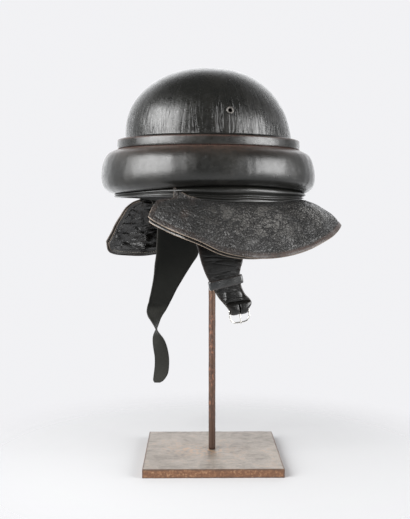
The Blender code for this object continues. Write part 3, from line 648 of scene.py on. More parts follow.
@dataclass(frozen=True)
class Steel(Finish):
    """Mill steel under a thin film of rust: grey scale, brown film and orange bloom."""

    scale: Colour = (0.250, 0.215, 0.185)
    film: Colour = (0.200, 0.135, 0.095)
    bloom: Colour = (0.175, 0.076, 0.031)
    worn: Colour = (0.175, 0.076, 0.031)
    film_share: float = 0.35
    bloom_share: float = 0.10
    grain: Sequence[float] = (1.0, 1.0, 1.0)
    metal: float = 0.25
    roughness: float = 0.58
    pits: float = 0.00020

    def make(self) -> bpy.types.Material:
        """Makes the material."""
        net = Net(self.name)
        here = net.place(self.grain)
        broad = net.clouds(here, 14.0, 5.0, 0.62, 0.5)
        middle = net.clouds(here, 75.0, 5.0, 0.65)
        fine = net.clouds(here, 420.0, 4.0, 0.7)
        wear = net.wear()
        film = (broad * 0.6 + middle * 0.4).step(0.56 - 0.12 * self.film_share, 0.66 - 0.18 * self.film_share)
        bloom = (middle * 0.55 + fine * 0.45).step(0.60 - 0.2 * self.bloom_share, 0.68 - 0.2 * self.bloom_share)
        tone = net.blend(film * 0.8, self.scale, self.film)
        tone = net.blend((fine.step(0.58, 0.44) * 0.30).clamped(), tone, tuple(0.55 * c for c in self.scale))
        tone = net.blend(bloom * 0.85, tone, self.bloom)
        tone = net.blend(wear * (fine.step(0.30, 0.60) * 0.5 + 0.5), tone, self.worn)
        rough = (self.roughness + (fine - 0.5) * 0.25 + bloom * 0.18).clamped()
        metal = (self.metal * (1.0 - bloom) * (1.0 - film * 0.6)).clamped()
        height = fine * self.pits + middle * (1.6 * self.pits) + bloom * 0.00008
        return net.dress(height, Base_Color=tone, Roughness=rough, Metallic=metal)


@dataclass(frozen=True)
class PlateSteel(Finish):
    """Ground plate: grey scale on top, orange rust on its sides and dark arrises, as its zones say."""

    pale: Colour = (0.262, 0.222, 0.184)
    dark: Colour = (0.128, 0.108, 0.088)
    ochre: Colour = (0.310, 0.195, 0.115)
    rust: Colour = (0.180, 0.084, 0.040)
    burnt: Colour = (0.070, 0.040, 0.026)
    pit: Colour = (0.090, 0.040, 0.020)

    def make(self) -> bpy.types.Material:
        """Makes the material."""
        net = Net(self.name)
        here = net.place()
        zones, arris, foot = net.split(net.lay((1.0, 1.0, 1.0)))
        drawn = net.clouds(net.place((0.35, 1.0, 1.0)), 170.0, 6.0, 0.75, 1.2)
        broad = net.clouds(here, 19.0, 5.0, 0.7, 1.2)
        fine = net.clouds(here, 330.0, 3.0, 0.65)
        specks = net.clouds(here, 150.0, 2.0, 0.6)
        shade = (drawn * 0.5 + broad * 0.5).step(0.34, 0.60)
        tone = net.blend(shade, self.dark, self.pale)
        tone = net.blend(fine.step(0.56, 0.40) * 0.45, tone, self.dark)
        rusting = ((broad.step(0.50, 0.66) * 0.5 + foot) * specks.step(0.48, 0.57)).clamped()
        tone = net.blend(rusting * 0.9, tone, self.ochre)
        tone = net.blend((broad.step(0.52, 0.38) * specks.step(0.54, 0.42) * 0.16).clamped(), tone, self.burnt)
        sides = net.blend(fine.step(0.60, 0.42) * 0.75, self.rust, self.pit)
        sides = net.blend(fine.step(0.56, 0.68) * 0.6, sides, self.ochre)
        tone = net.blend(zones, tone, sides)
        edge = (arris * (specks.step(0.36, 0.50) * 0.3 + 0.7)).clamped()
        tone = net.blend(edge * 0.9, tone, self.burnt)
        rough = (0.52 + (fine - 0.5) * 0.3 + zones * 0.2 - shade * 0.08).clamped()
        metal = ((1.0 - zones) * 0.22).clamped()
        return net.dress(fine * 0.00018 + drawn * 0.0003, Base_Color=tone, Roughness=rough, Metallic=metal)


CROWN_LEATHER = Leather(
    "crown_leather",
    roughness=0.29,
    polish=0.20,
    coat_roughness=0.22,
    fade=0.35,
    grain=0.00004,
    streaks=0.00042,
    lumps=0.0004,
)
FLESH_SIDE = Leather(
    "crown_inside",
    tone=(0.0040, 0.0036, 0.0031),
    faded=(0.009, 0.008, 0.007),
    roughness=0.80,
    coat=0.0,
    shine=0.06,
)
ROLL_LEATHER = Leather(
    "roll_leather",
    rubbed=(0.085, 0.050, 0.036),
    roughness=0.36,
    polish=0.22,
    coat_roughness=0.25,
    fade=0.50,
    grain=0.00004,
    lumps=0.0005,
    dapple=0.00007,
)
BAND_LEATHER = Leather(
    "band_leather",
    rubbed=(0.060, 0.028, 0.019),
    roughness=0.32,
    polish=0.26,
    coat_roughness=0.24,
    fade=0.60,
    lumps=0.0004,
)
RIM_LEATHER = Leather("rim_leather", roughness=0.36, lumps=0.0004, dapple=0.00007, coat=0.25, coat_roughness=0.28)
FLAP_LEATHER = Leather(
    "flap_leather",
    tone=(0.0080, 0.0074, 0.0065),
    faded=(0.020, 0.017, 0.014),
    rubbed=(0.046, 0.025, 0.018),
    # Light grey that paints the flap's sheen over its chafing.
    chafing_sheen_tone=(0.112, 0.107, 0.099),
    roughness=0.42,
    polish=0.10,
    shine=0.46,
    pebble=0.00110,
    pebble_scale=205.0,
    crinkle=0.0002,
    crinkle_scale=40.0,
    coat=0.35,
    coat_roughness=0.33,
)
LINING_FACE = Leather(
    "lining_leather_face",
    tone=(0.0070, 0.0064, 0.0056),
    faded=(0.020, 0.017, 0.014),
    rubbed=(0.014, 0.012, 0.010),
    roughness=0.24,
    shine=0.55,
    crinkle=0.0012,
    crinkle_scale=62.0,
    crinkle_stretch=(0.34, 0.34, 1.0),
    coat=0.50,
)
WALL_LEATHER = Leather("wall_leather", tone=(0.014, 0.011, 0.009), roughness=0.42, crinkle=0.0004, crinkle_scale=50.0)
SUEDE_STRAP = Leather(
    "matte_strap_leather",
    tone=(0.0050, 0.0054, 0.0046),
    faded=(0.009, 0.009, 0.0078),
    chafing_sheen_tone=(0.034, 0.034, 0.030),
    rubbed=(0.028, 0.027, 0.024),
    roughness=0.60,
    shine=0.08,
    polish=0.10,
    coat=0.0,
    grain=0.00006,
    grain_scale=1400.0,
)
BUCKLE_STRAP = Leather(
    "creased_strap_leather",
    tone=(0.0036, 0.0035, 0.0031),
    faded=(0.009, 0.008, 0.007),
    roughness=0.30,
    polish=0.06,
    shine=0.30,
    coat=0.50,
    coat_roughness=0.22,
)
# Lighter blue-grey tone that paints the keeper's sheen.
KEEPER_SHEEN = Leather(
    "keeper_painted_sheen",
    tone=(0.0120, 0.0130, 0.0138),
    coat=1.0,
    coat_roughness=0.22,
    lumps=0.0003,
)
TAN_EDGE = CutEdge("cut_leather_edge")
GREY_EDGE = CutEdge("grey_cut_edge", dyed=(0.012, 0.011, 0.010), fibre=(0.085, 0.078, 0.068))
DARK_THREAD = Thread("dark_thread")
RED_THREAD = Thread("red_brown_thread", tone=(0.110, 0.045, 0.032))
PALE_THREAD = Thread("pale_thread", tone=(0.42, 0.38, 0.31))
NICKEL = Wire("nickel_wire_finish")
BLACKENED = Wire("blackened_eyelet", tone=(0.15, 0.14, 0.13), stain=(0.05, 0.04, 0.035), metal=0.6, roughness=0.36)
PLATE_STEEL = PlateSteel("plate_steel")
ROD_STEEL = Steel(
    "rod_steel",
    scale=(0.102, 0.057, 0.037),
    film=(0.050, 0.024, 0.016),
    bloom=(0.230, 0.100, 0.055),
    worn=(0.040, 0.022, 0.016),
    film_share=0.85,
    bloom_share=0.40,
    grain=(1.0, 1.0, 0.40),
    metal=0.45,
    roughness=0.50,
)
CAP_STEEL = Steel("cap_steel", film_share=0.5)


@dataclass(frozen=True)
class HelmetForm:
    """Sizes of the helmet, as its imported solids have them, but for the crown's foot, which flares lower."""

    turn: float = math.radians(16.0)
    shift: float = -0.004
    rim_bottom: float = 0.3735
    rim_height: float = 0.0055
    roll_arch: float = 0.0087
    roll_height: float = 0.0605
    band_height: float = 0.0134
    shoulder_height: float = 0.0034
    crown_height: float = 0.1008
    wall_overlap: float = 0.0092
    gap: float = 0.0003
    crown_half: float = 0.1180
    oval_share: float = 0.815
    crown_wall: float = 0.0030
    fullness: float = 2.15
    brow_bulge: float = 0.0026
    shoulder_depth: float = 0.0089
    roll_depth: float = 0.0281
    rim_depth: float = 0.0109

    @property
    def roll_top(self) -> float:
        """Height of the roll's upper edge."""
        return self.rim_bottom + self.rim_height + self.roll_height

    @property
    def band_top(self) -> float:
        """Height of the band's upper edge."""
        return self.roll_top + self.band_height

    @property
    def shoulder_top(self) -> float:
        """Height at which the crown starts to flare."""
        return self.band_top + self.shoulder_height

    @property
    def crown_top(self) -> float:
        """Height of the crown's top."""
        return self.band_top + self.crown_height

    @property
    def skirt_half(self) -> float:
        """Half-length of the crown's skirt."""
        return self.crown_half + self.shoulder_depth

    @property
    def wall_half(self) -> float:
        """Half-length of the inner wall's outer face."""
        return self.skirt_half - self.crown_wall

    @property
    def rim_half(self) -> float:
        """Half-length of the rim."""
        return self.wall_half + self.rim_depth

    def half_width(self, half: np.ndarray | float) -> np.ndarray | float:
        """Half-width of the oval at a half-length: to scale on the crown, and parallel outside it."""
        outside = np.maximum(0.0, half - self.crown_half)
        return self.oval_share * (half - outside) + outside

    def oval(self, half: np.ndarray | float, turn: np.ndarray | float, height: np.ndarray | float) -> np.ndarray:
        """Points on the oval, with the turn in degrees from the front over the wearer's left."""
        half, turn, height = np.broadcast_arrays(half, np.radians(turn), height)
        return np.stack([-half * np.cos(turn), -self.half_width(half) * np.sin(turn), height], axis=-1)

    def outward(self, half: float, turn: np.ndarray) -> np.ndarray:
        """Unit vectors square to the oval."""
        angle = np.radians(turn)
        way = np.stack([-np.cos(angle) / half, -np.sin(angle) / self.half_width(half), 0.0 * angle], axis=-1)
        return way / np.linalg.norm(way, axis=-1, keepdims=True)

    def roll_low(self, turn: np.ndarray | float) -> np.ndarray | float:
        """Height of the roll's lower edge, which arches up over each ear."""
        return self.rim_bottom + self.rim_height + self.roll_arch * np.sin(np.radians(turn)) ** 2

    def crown_shift(self, height: np.ndarray) -> np.ndarray:
        """How far the crown's oval stands forward at a height."""
        share = np.clip((height - self.band_top) / self.crown_height, 0.0, 1.0)
        return -4.0 * self.brow_bulge * share * (1.0 - share)

    def place(self, points: np.ndarray) -> np.ndarray:
        """Turns points of the helmet's own frame into the row's frame."""
        x, y, z = np.moveaxis(points, -1, 0)
        cosine, sine = math.cos(self.turn), math.sin(self.turn)
        return np.stack([cosine * x - sine * y + self.shift, sine * x + cosine * y, z], axis=-1)

    def own(self, points: np.ndarray) -> np.ndarray:
        """Turns points of the row's frame into the helmet's own frame."""
        x, y, z = points[..., 0] - self.shift, points[..., 1], points[..., 2]
        cosine, sine = math.cos(self.turn), math.sin(self.turn)
        return np.stack([cosine * x + sine * y, -sine * x + cosine * y, z], axis=-1)

    def lay(self, points: np.ndarray) -> np.ndarray:
        """Place round the crown, as a point on a round drum, and height above the band."""
        local = self.own(points)
        angle = np.arctan2(local[..., 1] / self.oval_share, local[..., 0])
        round_it = self.crown_half * np.stack([np.cos(angle), np.sin(angle)], axis=-1)
        return np.concatenate([round_it, local[..., 2:] - self.band_top], axis=-1)


FORM = HelmetForm()


def carried(piece: bpy.types.Object, body: str, slot: str, *nodes: str) -> bpy.types.Object:
    """Puts a piece on its body and hides the nodes that it stands for."""
    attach(piece, body)
    if nodes:
        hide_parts(*nodes)
    return piece


@dataclass
class Stitching:
    """A row of short stitches laid on a path."""

    name: str
    length: float
    pitch: float
    radius: float
    sides: int = 6

    def sew(self, path: np.ndarray, normals: np.ndarray, finish: Finish, slot: str) -> bpy.types.Object:
        """Sews the row.

        Args:
            path: Points of the row, on the leather's face.
            normals: The face's normal at each point.
            finish: The thread.
            slot: The record's slot; not used.

        Returns:
            The piece with every stitch of the row.
        """
        steps = np.linalg.norm(np.diff(path, axis=0), axis=1)
        run = np.concatenate([[0.0], np.cumsum(steps)])
        points, faces, start = [], [], 0
        for middle in np.arange(0.5 * self.pitch, run[-1] - 0.5 * self.pitch, self.pitch):
            at = middle + self.length * np.linspace(-0.5, 0.5, 5)
            line = np.stack([np.interp(at, run, path[:, k]) for k in range(3)], axis=1)
            out = np.stack([np.interp(at, run, normals[:, k]) for k in range(3)], axis=1)
            sunk = np.array([-0.9, 0.25, 0.55, 0.25, -0.9])[:, None]
            stitch = tube(line + out * self.radius * sunk, self.radius, self.sides)
            points.append(stitch.points)
            faces += [[corner + start for corner in face] for face in stitch.faces]
            start += len(stitch.points)
        piece = Skin(np.concatenate(points), faces).build(self.name, finish)
        return carried(piece, STILL, slot)


@dataclass
class Crown:
    """Stiff hollow crown with upright wrinkles over its foot, and its three eyelets."""

    steps: int = 400
    rows: int = 88
    inner_rows: int = 18
    wrinkle: float = 0.00024
    dent: float = 0.0004
    lip: float = 0.0006
    skirt_foot: float = 0.0015
    vent_rise: float = 0.330
    vent_back: float = 0.0004
    hole: float = 0.0034
    flange: float = 0.0050
    flange_rise: float = 0.0007

    def outer_profile(self) -> np.ndarray:
        """Half-lengths and heights of the outer face, from just below the top to the skirt's edge."""
        form = FORM
        angle = np.linspace(0.0, 0.5 * np.pi, self.rows + 1)[1:]
        power = 2.0 / form.fullness
        half = form.crown_half * np.sin(angle) ** power
        height = form.band_top + form.crown_height * np.cos(angle) ** power
        dome = np.stack([half, height], axis=1)[height > form.shoulder_top + 0.001]
        share = 0.5 * np.pi * np.linspace(0.0, 1.0, 7)
        flare = np.stack(
            [
                form.crown_half + form.shoulder_depth * (1.0 - np.cos(share)),
                form.shoulder_top - (form.shoulder_height - self.lip) * np.sin(share),
            ],
            axis=1,
        )
        skirt = [(form.skirt_half, form.band_top - 0.004), (form.skirt_half, form.roll_top + self.skirt_foot)]
        return np.concatenate([dome, flare, skirt])

    def grid(self, profile: np.ndarray, turns: np.ndarray) -> np.ndarray:
        """Points of the crown's outer face in the helmet's own frame."""
        points = FORM.oval(profile[:, :1], turns[None, :], profile[:, 1:])
        points[..., 0] += FORM.crown_shift(points[..., 2])
        return points

    def wrinkled(self, points: np.ndarray, normals: np.ndarray) -> np.ndarray:
        """Presses the upright wrinkles and shallow dents into the outer face."""
        lay = FORM.lay(FORM.place(points))
        rise = lay[..., 2]
        low = eased((0.070 - rise) / 0.040) * eased((rise - 0.001) / 0.006)
        cluster = 0.25 + 0.75 * eased((crumple(lay, (20.0, 20.0, 9.0), 1, 4.0) + 0.05) / 0.3)
        creases = 0.8 * ridged(1.5 * crumple(lay, (95.0, 95.0, 15.0), 2, 9.0))
        creases = creases + ridged(1.6 * crumple(lay, (58.0, 58.0, 12.0), 2, 2.0))
        dents = crumple(lay, (14.0, 14.0, 14.0), 1, 6.0) * self.dent
        return points + normals * (self.wrinkle * creases * low * cluster + dents * eased(rise / 0.01))[..., None]

    def vents(self) -> list[tuple[str, np.ndarray, np.ndarray]]:
        """Names, places and outward directions of the eyelets, in the helmet's own frame."""
        form = FORM
        scale = (1.0 - self.vent_rise**form.fullness) ** (1.0 / form.fullness)
        width = form.half_width(form.crown_half)
        slope = (self.vent_rise / scale) ** (form.fullness - 1.0) * width / form.crown_height
        height = form.band_top + self.vent_rise * form.crown_height
        found = []
        for side, name in ((Side.LEFT, "left_vent"), (Side.RIGHT, "right_vent")):
            place = np.array([self.vent_back, side.value * width * scale, height])
            way = np.array([0.0, side.value, slope])
            found.append((name, place, way / np.linalg.norm(way)))
        return found + [("crown_vent", np.array([0.0, 0.0, form.crown_top]), np.array([0.0, 0.0, 1.0]))]

    def pierce(self, crown: bpy.types.Object) -> None:
        """Cuts the eyelets' holes."""
        cutters = []
        for name, place, way in self.vents():
            ends = FORM.place(np.stack([place - way * 0.008, place + way * 0.008]))
            cutters.append(Skin(*self.rod(ends, self.hole)).build(f"hole_for_{name}", BLACKENED))
        cut_out(crown, cutters)

    @staticmethod
    def rod(ends: np.ndarray, radius: float, sides: int = 28) -> tuple[np.ndarray, list]:
        """Points and faces of a plain round bar between two ends."""
        ring = radius * ring_about((ends[1] - ends[0]) / np.linalg.norm(ends[1] - ends[0]), sides)
        faces = quads(2, sides, wrap_columns=True).tolist()
        faces += [list(range(sides)), list(range(sides, 2 * sides))]
        return np.concatenate([ends[0] + ring, ends[1] + ring]), faces

    def shell(self) -> bpy.types.Object:
        """Builds the crown's closed shell."""
        turns = 360.0 * np.arange(self.steps) / self.steps
        profile = self.outer_profile()
        plain = self.grid(profile, turns)
        normals = grid_normals(plain, wrap_columns=True)
        normals *= np.sign((normals * (plain - [0.0, 0.0, FORM.roll_top])).sum(-1, keepdims=True))
        outer = self.wrinkled(plain, normals)
        chosen = np.unique(np.linspace(0, len(profile) - 1, self.inner_rows).astype(int))[::-1]
        inner = (plain - normals * FORM.crown_wall)[chosen]
        grid = np.concatenate([outer, inner])
        top, under = np.array([0.0, 0.0, FORM.crown_top]), np.array([0.0, 0.0, FORM.crown_top - FORM.crown_wall])
        points = np.concatenate([grid.reshape(-1, 3), [top, under]])
        faces = quads(len(grid), self.steps, wrap_columns=True).tolist()
        count, step = len(points), np.arange(self.steps)
        faces += [[count - 2, int(k), int((k + 1) % self.steps)] for k in step]
        last = (len(grid) - 1) * self.steps
        faces += [[count - 1, last + int((k + 1) % self.steps), last + int(k)] for k in step]
        kinds = np.full(len(faces), Surface.GRAIN.value)
        kinds[(len(outer) - 1) * self.steps : last] = Surface.RAW.value
        kinds[-self.steps :] = Surface.RAW.value
        crown = Skin(FORM.place(points), faces, kinds).build("crown", CROWN_LEATHER, FLESH_SIDE)
        self.pierce(crown)
        places = np.empty(len(crown.data.vertices) * 3)
        crown.data.vertices.foreach_get("co", places)
        store(crown.data, "lay", FORM.lay(places.reshape(-1, 3)))
        crown.data.polygons.foreach_set("use_smooth", [True] * len(crown.data.polygons))
        return carried(crown, STILL, "black_leather", "crown_shell")

    def eyelet(self, name: str, place: np.ndarray, way: np.ndarray, steps: int = 40) -> bpy.types.Object:
        """Builds an eyelet: a rolled flange and a barrel through the leather."""
        bore, rise = self.hole - 0.0005, self.flange_rise
        section = [(bore, -0.0012), (bore, 0.3 * rise)]
        middle, half = 0.5 * (self.flange + bore), 0.5 * (self.flange - bore)
        section += [(middle - half * math.cos(a), 0.0001 + rise * math.sin(a)) for a in np.linspace(0.2, np.pi, 9)]
        section += [(self.hole - 0.0001, 0.0), (self.hole - 0.0001, -0.0012)]
        section = np.array(section)
        grid = place + ring_about(way, steps)[:, None, :] * section[None, :, :1] + way * section[None, :, 1:]
        skin = Skin(FORM.place(grid.reshape(-1, 3)), quads(steps, len(section), True, True))
        return carried(skin.build(f"{name}_eyelet", BLACKENED), STILL, "blackened_metal", name)

    def build(self) -> list[bpy.types.Object]:
        """Builds the crown and its eyelets."""
        return [self.shell()] + [self.eyelet(*vent) for vent in self.vents()]


@dataclass
class HeadRings:
    """The rings round the head opening: band, padded roll, rim and inner wall."""

    steps: int = 400
    band_leather: float = 0.0023
    band_crest: float = 0.0005
    wall_leather: float = 0.0023
    stitch: tuple = (0.0019, 0.0034, 0.00025)
    rim_creases: tuple = ((0.0014, 0.28, 0.22), (-0.0024, 0.58, 0.07), (0.0013, 0.70, 0.06), (-0.0014, 0.83, 0.06))
    roll_section: tuple = (
        (0.00, 0.000),
        (0.18, 0.000),
        (0.46, 0.050),
        (0.73, 0.140),
        (0.91, 0.320),
        (1.00, 0.580),
        (0.95, 0.800),
        (0.79, 0.915),
        (0.50, 1.000),
        (0.00, 1.000),
    )
    bead_section: tuple = (
        (0.00, 0.00),
        (0.70, 0.00),
        (0.93, 0.10),
        (1.00, 0.28),
        (0.90, 0.47),
        (0.88, 0.54),
        (1.00, 0.72),
        (0.96, 0.93),
        (0.70, 1.02),
        (0.00, 1.00),
    )
    sagged_section: tuple = (
        (0.00, 0.00),
        (0.70, 0.00),
        (1.06, 0.08),
        (1.24, 0.22),
        (1.22, 0.38),
        (1.02, 0.52),
        (1.04, 0.68),
        (1.06, 0.84),
        (0.72, 1.00),
        (0.00, 0.96),
    )

    @property
    def turns(self) -> np.ndarray:
        """Turns of the rings' steps, in degrees."""
        return 360.0 * np.arange(self.steps) / self.steps

    def ring(
        self,
        name: str,
        half: np.ndarray,
        height: np.ndarray,
        wear: np.ndarray,
        finish: Finish,
        slot: str,
        node: str,
    ) -> bpy.types.Object:
        """Lofts a closed section round the oval.

        Args:
            name: The piece's name.
            half: Half-lengths, one row for each turn.
            height: Heights, in the same rows.
            wear: Wear at each point.
            finish: The leather.
            slot: The record's slot; not used.
            node: The node that the ring stands for.

        Returns:
            The ring.
        """
        grid = FORM.oval(half, self.turns[:, None], height)
        wear = np.broadcast_to(wear, grid.shape[:2]).ravel()
        skin = Skin(FORM.place(grid.reshape(-1, 3)), quads(*grid.shape[:2], True, True), wear=wear)
        return carried(skin.build(name, finish), STILL, slot, node)

    def band(self) -> bpy.types.Object:
        """Builds the flat band over the crown's foot, rubbed red-brown along both edges."""
        inner, outer = FORM.skirt_half + FORM.gap, FORM.skirt_half + FORM.gap + self.band_leather
        top, low = FORM.band_top, FORM.roll_top + FORM.gap
        share = np.linspace(0.0, 1.0, 17)
        corner = 0.0009 * (np.exp(-share / 0.045) + np.exp(-(1.0 - share) / 0.045))
        face = outer + self.band_crest * (1.0 - (2.0 * share - 1.0) ** 2) - corner
        half = np.concatenate([[inner, inner + 0.0008], face, [inner + 0.0008, inner]])
        height = np.concatenate([[top, top], top - (top - low) * share, [low, low]])
        around = FORM.oval(half[None, :], self.turns[:, None], height[None, :])
        wave = 0.00035 * crumple(around, 30.0, 2, 3.0)
        wave[:, [0, 1, -2, -1]] = 0.0
        low_wear = (0.15 + 0.55 * bump_at(self.turns, 96.0, 30.0))[:, None]
        wear = 0.8 * np.exp(-np.abs(height - top) / 0.0011)[None, :]
        wear = np.clip(wear + low_wear * np.exp(-np.abs(height - low) / 0.0010)[None, :], 0.0, 1.0)
        height = height[None, :] + 0.0 * wave
        return self.ring("head_band", half + wave, height, wear, BAND_LEATHER, "worn_leather", "crown_band")

    def roll(self) -> bpy.types.Object:
        """Builds the padded roll, a little lumpy where the stuffing has settled."""
        table = np.array(self.roll_section)
        section = curve_through(range(len(table)), table, np.linspace(0, len(table) - 1, 46))
        low = FORM.roll_low(self.turns)[:, None]
        half = FORM.wall_half + FORM.roll_depth * section[None, :, 0]
        height = FORM.roll_top - (FORM.roll_top - low) * section[None, :, 1]
        around = FORM.oval(half, self.turns[:, None], height)
        free = eased(section[:, 0] / 0.5)[None, :]
        lumps = 0.0011 * crumple(around, (9.0, 9.0, 16.0), 2, 7.0)
        lumps = lumps + 0.0003 * crumple(around, (60.0, 60.0, 26.0), 2, 1.0)
        wear = 0.80 * np.exp(-section[:, 1] / 0.09) * eased(section[:, 0] / 0.3)
        half = half + lumps * free
        roll = self.ring("padded_ring", half, height, wear[None, :], ROLL_LEATHER, "black_leather", "padded_roll")
        return roll

    def rim(self, flap: "Flap") -> bpy.types.Object:
        """Builds the rim: two beads at the brow, and leather that sags over the flap's hinge at the sides."""
        turns = self.turns
        places = range(len(self.bead_section))
        at = np.linspace(0, len(self.bead_section) - 1, 44)
        beads = curve_through(places, np.array(self.bead_section), at)
        sagged = curve_through(places, np.array(self.sagged_section), at)
        from_front = np.minimum(turns, 360.0 - turns)
        slack = eased((from_front - 44.0) / 18.0)[:, None]
        section = beads[None] * (1.0 - slack[..., None]) + sagged[None] * slack[..., None]
        top = (FORM.roll_low(turns) - FORM.gap)[:, None]
        hinge = flap.hinge_height(turns)[:, None]
        bottom = FORM.rim_bottom * (1.0 - slack) + (hinge - 0.0004) * slack
        half = FORM.wall_half + FORM.rim_depth * section[..., 0]
        height = top - (top - bottom) * section[..., 1]
        around = FORM.oval(half, turns[:, None], height)
        free = eased(section[..., 0] / 0.6)
        drift = crumple(around * [1.0, 1.0, 0.0], 16.0, 2, 5.0)
        share = section[..., 1] + 0.07 * drift
        creases = sum(depth * bump_at(share, place, width) for depth, place, width in self.rim_creases)
        creases = creases + 0.0004 * crumple(around, (30.0, 30.0, 60.0), 2, 5.0)
        small = 0.0002 * crumple(around, (50.0, 50.0, 30.0), 2, 2.0)
        half = half + free * (creases * slack + small)
        return self.ring("lower_rim", half, height, 0.0 * half, RIM_LEATHER, "black_leather", "rolled_rim")

    def wall(self) -> bpy.types.Object:
        """Builds the leather wall inside the head opening."""
        outer = FORM.wall_half - FORM.gap
        inner, top, low = outer - self.wall_leather, FORM.roll_top + FORM.wall_overlap, FORM.rim_bottom
        share = np.linspace(0.0, 1.0, 22)
        half = np.concatenate([[outer, outer, outer - 0.0007], np.full(22, inner), [outer - 0.0007]])
        height = np.concatenate([[top, low + 0.0006, low], low + 0.0008 + (top - low - 0.0014) * share, [top]])
        half = np.broadcast_to(half, (self.steps, len(half))).copy()
        around = FORM.oval(half, self.turns[:, None], height[None, :])
        slack = np.concatenate([[0, 0, 0], np.sin(np.pi * share) ** 0.6, [0]])[None, :]
        half -= slack * (0.0007 + 0.0007 * crumple(around, (30.0, 30.0, 60.0), 3, 2.0))
        height = height[None, :] + 0.0 * half
        return self.ring(
            "head_opening_wall", half, height, 0.0 * half, WALL_LEATHER, "lining_leather", "inner_wall"
        )

    def threads(self) -> list[bpy.types.Object]:
        """Sews the rows of stitches along the band's upper edge and the roll's upper edge."""
        rows = []
        closed = np.append(self.turns, 360.0)
        band_half = FORM.skirt_half + FORM.gap + self.band_leather - 0.0001
        for name, half, height, across, up in (
            ("band_top_stitches", band_half, FORM.band_top - 0.0014, 1.0, 0.0),
            ("roll_top_stitches", FORM.wall_half + 0.215 * FORM.roll_depth, FORM.roll_top - 0.0001, 0.25, 0.97),
        ):
            line = FORM.oval(half, closed, height)
            out = FORM.outward(half, closed) * across + np.array([0.0, 0.0, up])
            turned = FORM.place(out + line) - FORM.place(line)
            row = Stitching(name, *self.stitch)
            rows.append(row.sew(FORM.place(line), turned, RED_THREAD, "worn_leather"))
        return rows

    def build(self, flap: "Flap") -> list[bpy.types.Object]:
        """Builds the rings."""
        return [self.band(), self.roll(), self.rim(flap), self.wall(), *self.threads()]


